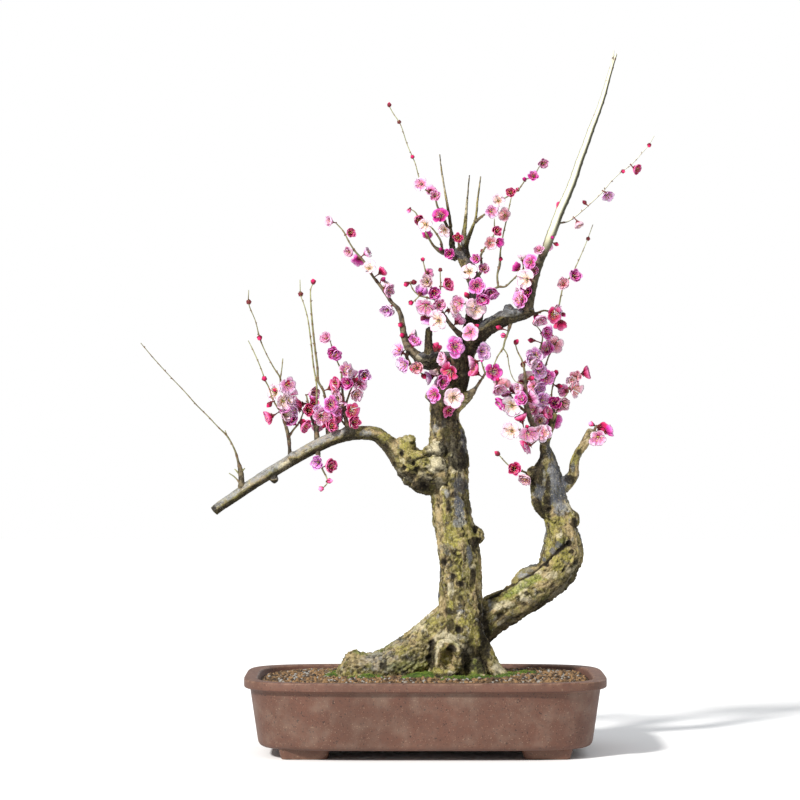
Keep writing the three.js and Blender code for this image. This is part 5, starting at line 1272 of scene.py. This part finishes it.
SPRAYS["spray_crown_left"] = ([
    [(176, 28, 274, 5), (169, 18, 288, 4.2), (161, 10, 298, 3.6), (155, 4, 312, 3.2),
     (151, 0, 326, 2.9), (151, -2, 340, 2.6), (150, -3, 352, 2.2), (149, -4, 366, 1.8),
     (146, -4, 378, 1.5), (141, -4, 388, 1.2), (138, -4, 398, 1)],
    [(154, 3, 314, 2.4), (146, 2, 320, 2), (138, 3, 328, 1.7), (131, 5, 338, 1.4), (125, 8, 345, 1.1)],
    [(161, 10, 298, 2.6), (152, 4, 296, 2), (142, 0, 294, 1.5), (136, -2, 293, 1.1)],
], [
    (139, 399, -0.3, "bud", "crimson"), (153, 377, -1, "half", "lilac"),
    (124, 347, -0.8, "open", "salmon"), (138, 340, 0.8, "half", "crimson"),
    (146, 343, -0.8, "half", "pink"), (124, 328, -0.6, "half", "dark"), (134, 323, -1, "wide", "pale"),
    (147, 330, -1.7, "half", "magenta"), (157, 330, 0.8, "half", "pink"),
    (146, 305, -0.9, "half", "crimson"), (134, 293, -1, "open", "pale"),
    (153, 291, -0.9, "wide", "pink"), (169, 289, -1, "open", "salmon"),
    (154, 277, 0.5, "half", "crimson"), (157, 356, -1, "bud", "crimson"),
])
SPRAYS["spray_crown_middle"] = ([
    [(176, 29, 280, 5), (171, 32, 300, 3), (166, 34, 316, 2.6), (164, 35, 332, 2.3),
     (163, 34, 350, 2.1), (162, 32, 366, 2), (164, 30, 382, 1.8), (169, 27, 392, 1.5),
     (172, 24, 404, 1.3), (170, 20, 412, 1.1), (164, 16, 420, 0.9)],
    [(163, 34, 344, 2), (171, 38, 356, 1.7), (176, 41, 370, 1.5), (180, 42, 382, 1.4),
     (185, 42, 394, 1.2), (185, 41, 408, 1)],
], [
    (159, 402, -0.8, "bud", "crimson"), (163, 384, -1.2, "open", "lilac"),
    (166, 365, -1, "open", "lilac"), (176, 358, -0.9, "open", "magenta"),
    (167, 346, -0.9, "half", "lilac"), (170, 330, -0.9, "open", "lilac"),
    (162, 318, -1, "open", "pink"), (174, 314, -1.3, "half", "crimson"),
    (170, 306, -0.7, "half", "magenta"), (182, 410, 0.5, "half", "lilac"),
    (173, 411, -1, "half", "magenta"), (179, 391, -1.1, "open", "magenta"),
    (187, 398, -0.9, "open", "salmon"), (163, 422, 0.2, "bud", "crimson"),
])
SPRAYS["spray_crown_right"] = ([
    [(185, 30, 306, 4), (186, 38, 320, 2.6), (191, 44, 328, 1.8), (197, 47, 331, 1.4),
     (203, 49, 338, 1.2), (207, 50, 348, 1.1), (214, 50, 358, 1)],
    [(186, 38, 320, 1.8), (184, 48, 334, 1.5), (186, 54, 348, 1.3), (190, 58, 360, 1.1)],
], [
    (190, 363, -0.7, "bud", "crimson"), (193, 347, -0.9, "bud", "crimson"),
    (213, 357, -1, "half", "salmon"), (210, 343, -1, "open", "salmon"),
    (223, 362, 0.2, "half", "crimson"), (187, 326, -1.4, "half", "dark"),
    (196, 327, -1, "half", "salmon"), (202, 341, 1, "half", "pink"),
])
SPRAYS["spray_crown_back"] = ([
    [(178, 34, 262, 4.4), (174, 48, 290, 2.6), (168, 62, 312, 2), (161, 72, 332, 1.6),
     (156, 80, 352, 1.2), (152, 84, 372, 1)],
    [(174, 48, 290, 2), (184, 60, 304, 1.5), (192, 68, 318, 1.2)],
], [
    (160, 330, 1, "open", "pink"), (156, 352, 0.9, "wide", "pale"), (172, 312, 1, "wide", "pink"),
    (151, 373, 0.6, "bud", "crimson"), (186, 304, 1, "open", "magenta"),
    (194, 320, 0.8, "half", "pink"), (168, 294, 0.9, "half", "crimson"),
    (166, 340, -0.6, "half", "lilac"),
])
SPRAYS["spray_second_right"] = ([
    [(229, 5, 288, 4), (234, 2, 292, 2.4), (238, 0, 290, 1.6)],
    [(230, 3, 288, 2.6), (236, 0, 299, 1.6)],
], [
    (230, 301, -0.4, "bud", "pink"), (240, 298, 0.6, "half", "crimson"),
    (237, 286, -1.1, "open", "pink"), (247, 292, -0.2, "half", "magenta"),
])
SPRAYS["spray_second_left"] = ([
    [(166, 24, 238, 4), (157, 22, 240, 2.6), (148, 20, 244, 1.6), (138, 18, 246, 1.3),
     (128, 16, 254, 1.1), (119, 15, 264, 0.9)],
], [
    (152, 237, -1, "half", "salmon"), (137, 247, -0.6, "half", "crimson"),
    (118, 265, 0, "bud", "crimson"),
])
SPRAYS["spray_trunk_back"] = ([
    [(60, 8, 336, 5), (56, 26, 344, 2.6), (50, 38, 356, 2), (46, 46, 372, 1.6), (44, 50, 390, 1.2)],
    [(50, 38, 356, 1.6), (62, 50, 362, 1.3), (70, 58, 372, 1.1)],
], [
    (52, 346, 1, "open", "pink"), (46, 370, 0.9, "wide", "pale"), (44, 391, 0.6, "half", "crimson"),
    (62, 361, 1, "wide", "pink"), (71, 374, 0.8, "half", "magenta"), (38, 358, -0.4, "half", "lilac"),
])

# Of each kind of bloom: the petal's length, how far its rim stands above the flower's middle, and
# how far that middle stands off the twig.
BLOOM_SIZES = {"bud": (3.9, 0, 3.6), "half": (8, 7, 6.5), "open": (10.5, 4.6, 7.5), "wide": (12.5, 3.8, 8)}
STAMENS = {"half": 7, "open": 18, "wide": 18}
BLOOM_SCALE = 1.1
# In the top of the tree, over this height, the blooms are smaller.
TOP_HEIGHT = 480
TOP_SCALE = 0.87
# Lower down, a second and smaller bloom often shares the foot of the first.
BESIDE_BELOW = 470
BESIDE_CHANCE = 0.7
BESIDE_SCALE = 0.9
BESIDE = [
    ("bud", "crimson"), ("half", "pink"), ("bud", "magenta"), ("half", "lilac"), ("half", "pale"),
    ("bud", "crimson"), ("half", "magenta"), ("open", "pale"), ("open", "pink"),
]
PETAL_THICKNESS = 0.25
SEPAL_THICKNESS = 0.45
TRIANGLE = np.radians([90, 210, 330])
# An anther is a bead of eight faces about its middle.
ANTHER = np.array([(1, 0, 0), (-1, 0, 0), (0, 1, 0), (0, -1, 0), (0, 0, 1), (0, 0, -1)]) * 0.5
ANTHER_FACES = np.array([
    (0, 2, 4), (2, 1, 4), (1, 3, 4), (3, 0, 4), (2, 0, 5), (1, 2, 5), (3, 1, 5), (0, 3, 5),
])
# Of each tone: the colour at a petal's root, in its middle and at its rim. The deep root colour is partly
# the flower's own and partly painted shade, and the near-white rim partly painted highlight.
TONES = {
    "pale": ("f6c890", "ffecec", "ffd6f0"), "pink": ("ee5492", "ffa6dc", "ffe4f6"),
    "magenta": ("98044e", "f43ab8", "ffbaf4"), "crimson": ("7a0630", "e41e68", "ff90c8"),
    "salmon": ("f27e8c", "ffb8c8", "ffe4f2"), "lilac": ("cc50c8", "fca6f8", "ffe6ff"),
    "dark": ("62063c", "bc187c", "f26ecc"),
}
PART_COLOURS = {"stalk": "6b2b2a", "calyx": "7c3430", "bud calyx": "6e2a2c", "filaments": "f6dbe2",
                "anthers": "e6b432", "brown anthers": "d28c34", "pistil": "b9bf6a"}


def petal_skin():
    """Petals: thin and soft, veined from the root, with light coming through. The same finish covers
    stalks, sepals and stamens, whose points say that they are thick."""
    petal = Finish("petal_skin")
    veins = petal.noise(90, 2, petal.given("fan", "Vector")).between(0.42, 0.62)
    thin = petal.given("thin")
    colour = petal.over(
        petal.given("tint", "Color"),
        ("a8175a", veins * thin * 0.1),
        ("fff2f6", petal.noise(3, 3).between(0.55, 0.8) * thin * 0.14),
    )
    normal = petal.bump(veins * 0.7 + petal.noise(0.9, 2) * 0.3, 0.25)
    body = petal.skin(colour, 0.5 + 0.12 * petal.noise(4, 2), normal, **{"Specular IOR Level": 0.25})
    through = petal.node("ShaderNodeBsdfTranslucent", None, {"Color": paint("ff8ec8"), "Normal": normal})
    return petal.show(petal.node("ShaderNodeMixShader", None, {0: thin * 0.12, 1: body, 2: through}))


def leaf_shell(middle, thickness):
    """A closed thin shell from a grid of points (row, column, 3): a second grid lies under it by the
    thickness, and both share the points of the edge. Gives the skin, and which points of the grid
    have one under them."""
    rows, columns = middle.shape[:2]
    over = np.cross(np.gradient(middle, axis=0), np.gradient(middle, axis=1))
    row, column = np.meshgrid(np.arange(rows), np.arange(columns), indexing="ij")
    edge = (row == 0) | (row == rows - 1) | (column == 0) | (column == columns - 1)
    inside = ~edge.ravel()
    lower = np.where(inside, rows * columns + np.cumsum(inside) - 1, np.arange(rows * columns))
    under = (middle - unit(over) * thickness).reshape(-1, 3)[inside]
    top = grid_faces(rows, columns, ring=False)
    return (np.concatenate([middle.reshape(-1, 3), under]),
            np.concatenate([top[:, ::-1], lower[top]]), inside)


def toned(stops, share):
    """A colour for each share, blended between evenly spaced stops."""
    palette = np.array(stops)
    place = np.linspace(0, 1, len(stops))
    return np.stack([np.interp(share, place, palette[:, part]) for part in range(4)], axis=1)


def petal(kind, reach, cup, turn, chance, stops, count=7):
    """One petal in polar terms: u runs over its width, s from root to rim. The angle is the turn plus
    u times a width that grows with s, and the rim is shorter at its sides. An open petal rises as a
    power of s, and a half-open one stands in a bowl whose mouth draws in."""
    s, u = np.meshgrid(np.linspace(0.06, 1, count) ** 0.85, np.linspace(-1, 1, count), indexing="ij")
    length = reach * (1 - 0.26 * np.abs(u) ** 2.4) * chance.uniform(0.86, 1.06)
    spread = np.radians(15 + chance.uniform(24, 31) * np.sqrt(s)) * (1.1 if kind == "half" else 1)
    angle = turn + u * spread + chance.uniform(-0.13, 0.13)
    wave = np.sin(5 * u + chance.uniform(0, 6)) * 0.06 + np.sin(3 * u + chance.uniform(0, 6)) * 0.07
    if kind == "half":
        out = length * np.sin(s * chance.uniform(1.4, 1.8)) * 0.98
        height = (cup + 0.05 * reach) * s ** 1.35 * (1 - 0.2 * np.abs(u) ** 2.4) - 0.1 * reach
        out = out + reach * (0.04 * u * s + wave * s ** 3)
    else:
        droop = chance.uniform(-0.22, 0.2)
        out = length * s
        curl = 0.1 * u * u * s + 0.07 * u * s + (wave + droop) * s ** 3
        height = cup * s ** 1.5 + reach * curl - 0.02 * reach
    middle = np.stack([out * np.cos(angle), out * np.sin(angle), height], axis=-1)
    points, faces, inside = leaf_shell(middle, PETAL_THICKNESS)
    share, across = (np.concatenate([part.ravel(), part.ravel()[inside]]) for part in (s, u))
    below = np.concatenate([np.zeros(u.size), np.ones(inside.sum())])
    tint = toned(stops, np.clip(share ** 1.2 - 0.08 * np.abs(across) + chance.uniform(-0.08, 0.1), 0, 1))
    # The underside of each petal is painted a little darker as shade.
    tint[:, :3] *= (1 - 0.14 * below)[:, None]
    fan = np.column_stack([across * 0.5, share * 0.03, np.full(len(share), turn)])
    return points, faces, tint, fan, np.ones(len(points))


def plain(shell, part):
    """A thick part of a bloom in its one colour, with the values that the petals' finish reads."""
    points, faces = shell
    tint = np.tile(paint(PART_COLOURS[part]), (len(points), 1))
    return points, faces, tint, np.zeros((len(points), 3)), np.zeros(len(points))


def sepals(reach, rise, drop, hug=1.0):
    """Five rounded lobes of the calyx, each a closed leaf between two petals. They run out with the
    hug-th power of s and up with the next power, so that a low hug closes them round a bud."""
    s, u = np.meshgrid(np.linspace(0.1, 1, 4), np.linspace(-1, 1, 5), indexing="ij")
    out = reach * s ** hug * (1 - 0.3 * np.abs(u) ** 2)
    height = rise * s ** (1 + hug) - drop + 0.06 * reach * u * u
    spread = u * np.radians(34) * np.sqrt(np.clip(1.05 - s ** 3, 0.05, 1))
    shells = []
    for lobe in range(5):
        angle = math.radians(72 * lobe + 36) + spread
        middle = np.stack([out * np.cos(angle), out * np.sin(angle), height], axis=-1)
        shells.append(leaf_shell(middle, SEPAL_THICKNESS)[:2])
    return joined(shells)


def stamens(count, reach, cup, chance):
    """Filaments that fan out from the heart, each a three-sided tube, and an anther on the end of
    each. Gives both as shells."""
    angle = np.arange(count) * 2.4 + chance.uniform(0, 6)
    lean = np.sqrt(chance.uniform(0.05, 1, count))
    direction = np.stack([np.cos(angle), np.sin(angle), 0 * angle], axis=1)
    up = np.array([0, 0, 1.0])
    root = direction * 0.09 * reach
    rise = cup * 0.45 + reach * (0.42 - 0.16 * lean)
    tip = direction * (0.12 + 0.4 * lean)[:, None] * reach + up * rise[:, None]
    side = np.cross(direction, up)
    ring = (np.cos(TRIANGLE)[None, :, None] * side[:, None]
            + np.sin(TRIANGLE)[None, :, None] * direction[:, None])
    rings = np.concatenate([place[:, None] + ring * 0.12 for place in (root, tip)], axis=1)
    faces = np.concatenate([grid_faces(2, 3), [[0, 2, 1], [3, 4, 5]]])
    beads = ANTHER[None] * chance.uniform(0.8, 1.25, (count, 1, 3))
    return laid_out(rings, faces, np.zeros((count, 3))), laid_out(beads, ANTHER_FACES, tip)


def bud_petals(reach, girth):
    """A closed bud: a ball drawn out to a blunt point, its five overlapping petals shown by a swirl
    of shallow steps round it."""
    share = np.linspace(0.03, 0.985, 9)[:, None]
    angle = turns(15)[None]
    swirl = ((angle / (2 * np.pi) * 5 + 0.8 * share) % 1) * 0.13
    radius = girth * reach * np.sin(np.pi * share ** 0.76) ** 0.8 * (0.93 + swirl)
    height = reach * (-0.65 + 1.9 * share) + 0 * angle
    rings = np.stack([radius * np.cos(angle), radius * np.sin(angle), height], axis=-1)
    return capped(rings, (0, 0, -0.66 * reach), (0, 0, 1.25 * reach))


def bloom(kind, tone, root, size, seed):
    """All parts of one bloom about its middle, facing +Z, as (points, faces, tint, fan, thin). Its
    stalk comes from the root, and it is drawn at a size relative to its kind's own."""
    reach, cup = BLOOM_SIZES[kind][0] * size, BLOOM_SIZES[kind][1] * size
    chance = np.random.default_rng(seed)
    stops = np.array([paint(code) for code in TONES[tone]])
    stops[:, :3] = np.clip(stops[:, :3] * chance.uniform(0.92, 1.12), 0, 1)
    heart, girth = (-0.6 * reach, 0.5) if kind == "bud" else (-0.12 * reach, 0.24)
    low = max(heart - 0.3 * reach, root[2] + 0.8)
    neck = np.array([0, 0, low])
    stalk = smooth_line([
        (*root, 1.3), (*(0.8 * root + 0.2 * neck), 0.85),
        (*(0.35 * root + 0.65 * (neck - (0, 0, 0.4))), 0.7), (*neck, 0.55 * girth * reach),
        (0, 0, low + 0.6 * (heart - low), 0.9 * girth * reach), (0, 0, heart, 0.8 * girth * reach),
    ], 2.4)
    parts = [plain(tube(stalk, 7, tip=0.1), "stalk")]
    if kind == "bud":
        parts.append(plain(sepals(0.8 * reach, 1.1 * reach, 0.62 * reach, 0.45), "bud calyx"))
        points, faces = bud_petals(reach, 0.72)
        share = rising(points[:, 2], -0.5 * reach, 1.25 * reach)
        tint = toned(stops[[0, 0, 1]] if tone != "pale" else stops[[2, 1, 1]], share)
        parts.append((points, faces, tint, points * 0.01, np.full(len(points), 0.3)))
        return parts

    rise = 0.16 if kind == "half" else -0.05
    parts.append(plain(sepals(0.46 * reach, rise * reach, 0.2 * reach), "calyx"))
    start = chance.uniform(0, 0.2)
    # Each row of petals: how many degrees round from the first, how long, how many points across.
    rows = [(0, 1, 7)]
    if kind == "half" or tone in ("magenta", "lilac"):
        rows.append((36, 0.74, 5))
    parts += [petal(kind, reach * shorter, cup, start + math.radians(72 * k + between), chance, stops, count)
              for between, shorter, count in rows for k in range(5)]
    filaments, anthers = stamens(STAMENS[kind], reach, cup, chance)
    parts.append(plain(filaments, "filaments"))
    parts.append(plain(anthers, "anthers" if chance.random() < 0.75 else "brown anthers"))
    pistil = [(0, 0, -0.05 * reach, 0.7), (0, 0, 0.1 * reach, 0.45), (0, 0, 0.45 * reach + 0.4 * cup, 0.25)]
    parts.append(plain(tube(np.array(pistil), 4), "pistil"))
    return parts


def turned_to(facing, roll):
    """The turn that rolls about +Z by an angle in degrees and then takes +Z to the facing direction
    by the shortest way."""
    x, y, z = facing
    cross = np.array([[0, 0, x], [0, 0, y], [-x, -y, 0]])
    tilt = np.eye(3) + cross + cross @ cross / max(1 + z, 1e-3)
    cosine, sine = math.cos(math.radians(roll)), math.sin(math.radians(roll))
    return tilt @ np.array([[cosine, -sine, 0], [sine, cosine, 0], [0, 0, 1]])


def feet_on(twigs):
    """Where blooms may grow: a point about every two millimetres along the straight lines between
    the places of each twig."""
    feet = []
    for places in twigs:
        places = np.array(places, dtype=float)[:, :3]
        for start, end in zip(places, places[1:]):
            count = max(2, math.ceil(np.linalg.norm(end - start) / 2) + 1)
            feet.append(start + (end - start) * np.linspace(0, 1, count)[1:, None])
    return np.concatenate(feet)


petal_finish = petal_skin()
for number, (spray, (twigs, blooms)) in enumerate(SPRAYS.items()):
    cream_highlight = 1.0 if spray == "spray_whip_right" else 0.0
    twigs_together(spray + "_twigs", twigs, spray, 400 + 20 * number, cream_highlight)

    feet = feet_on(twigs)
    chance = np.random.default_rng(700 + number)
    grown = []
    for x, z, side, kind, tone in blooms:
        foot = feet[np.hypot(feet[:, 0] - x, feet[:, 2] - z).argmin()]
        middle = np.array([x, foot[1] + side * BLOOM_SIZES[kind][2], z])
        grown.append((middle, foot, kind, tone, TOP_SCALE if z >= TOP_HEIGHT else BLOOM_SCALE))
        crowded = len(blooms) > 4 and z < BESIDE_BELOW and kind != "bud"
        if crowded and chance.random() < BESIDE_CHANCE:
            beside = foot + (middle - foot) * 0.7 + chance.normal(0, 3.6, 3)
            grown.append((beside, foot, *BESIDE[chance.integers(len(BESIDE))], BESIDE_SCALE))

    parts = []
    for order, (middle, foot, kind, tone, size) in enumerate(grown):
        out = unit(middle - foot)
        turn = turned_to(unit(out + chance.normal(0, 0.2, 3)), 137.5 * order)
        root = (foot - out - middle) @ turn
        for points, faces, *values in bloom(kind, tone, root, size, 1000 * number + order):
            parts.append((points @ turn.T + middle, faces, *values))
    points, faces = joined([part[:2] for part in parts])
    tint, fan, thin = (np.concatenate([part[k] for part in parts]) for k in (2, 3, 4))
    add_piece(spray + "_blossoms", points + TREE_FOOT, faces, petal_finish, "blossom", spray,
              tint=tint, fan=fan, thin=thin)


# Moss on the soil round the roots: low cushions of short green shoots, laid on when the tree was
# potted, thicker towards the trunk.
MOSS_PATCHES = [
    (28, -38, 34, 20, 6), (92, -44, 26, 18, 5), (128, -10, 20, 22, 4.5), (64, -62, 24, 12, 4),
    (-40, -36, 26, 13, 4), (-78, -6, 16, 18, 4), (110, 40, 26, 22, 5), (40, 52, 32, 20, 5.5),
    (-20, 34, 34, 18, 5), (150, 30, 18, 14, 3.5), (-70, 44, 20, 14, 3.5), (84, 84, 22, 14, 4),
]
TUCKED = 1.2


def moss_green():
    """Moss: deep green between the shoots, yellow-green on their tips, brown where it has dried."""
    moss = Finish("moss_green")
    tip = moss.given("tip")
    colour = moss.over(
        moss.blend("26380f", "6f8a2a", tip.between(0.1, 0.8)),
        ("a8ab4a", tip.between(0.6, 1.1) * moss.noise(8, 3).between(0.4, 0.7)),
        ("6d5a2c", moss.noise(24, 4).between(0.55, 0.75) * 0.6),
    )
    return moss.show(moss.skin(colour, moss.noise(3, 2) * 0.1 + 0.86, moss.bump(moss.noise(0.7, 3), 0.7)))


def moss_cushion(x, y, long, wide, thick, seed):
    """A low cushion: rings about its middle whose radius wanders with the angle, and whose height is
    a flattened dome with bumps. A last ring tucks its edge into the soil."""
    share = np.concatenate([[0.0], np.linspace(1.02, 0.03, 17)])[:, None]
    angle = turns(48)[None]
    circle = np.stack([np.cos(angle) * 1.6, np.sin(angle) * 1.6, 0 * angle + seed], axis=-1)
    radius = (0.85 + 0.3 * layered(circle, seed, 3)) * np.where(share > 0, share, 0.9)
    flat = np.stack([x + long * radius * np.cos(angle), y + wide * radius * np.sin(angle)], axis=-1)
    dome = np.sqrt(np.clip(1 - share ** 3, 0, 1)) * thick
    places = np.dstack([flat, 0 * radius])
    bumps = layered(places / 6, seed + 2, 2) * 1.1 + layered(places / 1.6, seed + 3, 2) * 0.6
    height = ground(flat[..., 0], flat[..., 1]) - TUCKED + dome + bumps * np.clip(dome / 2, 0, 1)
    height[0] = height[1] - 2
    return capped(np.dstack([flat, height]), (x, y, height[0].mean()), (x, y, height[-1].mean()))


def moss_shoots(points, facing, count, seed):
    """Short three-sided shoots that stand on some of a cushion's points, leaning at random."""
    chance = np.random.default_rng(seed)
    roots = chance.choice(np.nonzero(facing[:, 2] > 0.3)[0], count)
    lean = unit(facing[roots] + chance.normal(0, 0.35, (count, 3)) + (0, 0, 1))
    ring = np.stack([np.cos(TRIANGLE), np.sin(TRIANGLE), 0 * TRIANGLE], axis=1) * 0.42
    base = points[roots, None] + ring[None] + chance.normal(0, 0.5, (count, 1, 3)) * (1, 1, 0)
    top = base.mean(axis=1) + lean * chance.uniform(1.2, 2.6, (count, 1))
    shoots = np.concatenate([base - (0, 0, 0.4), top[:, None]], axis=1)
    faces = np.array([(0, 2, 1), (0, 1, 3), (1, 2, 3), (2, 0, 3)])
    return laid_out(shoots, faces, np.zeros((count, 3)))


moss_shells, moss_tips = [], []
for number, (x, y, long, wide, thick) in enumerate(MOSS_PATCHES):
    cushion = moss_cushion(x + TREE_FOOT[0], y, long, wide, thick, 70 + number)
    shoots = moss_shoots(cushion[0], outward(*cushion), int(long * wide * 0.8), 90 + number)
    moss_shells += [cushion, shoots]
    moss_tips.append(0.35 + 0.25 * soft_noise(cushion[0] / 2, 9))
    moss_tips.append(np.tile([0.1, 0.1, 0.1, 1.0], len(shoots[0]) // 4))
add_piece("moss_cushions", *joined(moss_shells), moss_green(), "soil", "soil",
          tip=np.concatenate(moss_tips))


# The stage: a plain near-white floor, soft studio light from the upper left front, and a camera
# level with the middle of the tree, as in the photo.
floor_finish = Finish("floor_paper")
floor_colour = floor_finish.blend("f4f3f1", "fafafa", floor_finish.noise(400, 2))
floor_finish.show(floor_finish.skin(floor_colour, 0.85, floor_finish.bump(floor_finish.noise(30, 2), 0.05)))
FLOOR_HALF = 6000
sheet = np.array([(-1, -1, 0), (1, -1, 0), (1, 1, 0), (-1, 1, 0)]) * float(FLOOR_HALF)
floor = bpy.data.objects.new("floor", new_mesh("floor", sheet, np.array([[0, 1, 2, 3]])))
floor.data.materials.append(floor_finish.material)
bpy.context.scene.collection.objects.link(floor)

studio = Finish("studio", bpy.data.worlds)
seen = studio.node("ShaderNodeBackground", None, {"Color": (1, 1, 1, 1), "Strength": 1.0})
felt = studio.node("ShaderNodeBackground", None, {"Color": (0.93, 0.96, 1, 1), "Strength": 0.6})
looked_at = studio.node("ShaderNodeLightPath", output="Is Camera Ray")
both = studio.node("ShaderNodeMixShader", None, {0: looked_at, 1: felt, 2: seen})
studio.show(both, "ShaderNodeOutputWorld")
bpy.context.scene.world = studio.material


def soft_sun(name, direction, strength, spread, colour):
    """Even light along a direction, softened by the spread in degrees."""
    lamp = bpy.data.lights.new(name, "SUN")
    lamp.energy, lamp.angle, lamp.color = strength, math.radians(spread), colour
    light = bpy.data.objects.new(name, lamp)
    light.rotation_euler = Vector(direction).to_track_quat("-Z", "Y").to_euler()
    bpy.context.scene.collection.objects.link(light)


soft_sun("key_light", (0.56, 0.72, -0.64), 4.4, 7, (1.0, 0.98, 0.955))
soft_sun("back_light", (-0.4, -0.8, -0.5), 0.5, 30, (1.0, 1.0, 1.0))

lens = bpy.data.cameras.new("camera")
lens.lens = 150
lens.sensor_width = 36
camera = bpy.data.objects.new("camera", lens)
camera.location = (0.0, -4.0, 0.42)
camera.rotation_euler = (math.pi / 2, 0, 0)
bpy.context.scene.collection.objects.link(camera)
bpy.context.scene.camera = camera
bpy.context.scene.view_settings.view_transform = "Standard"
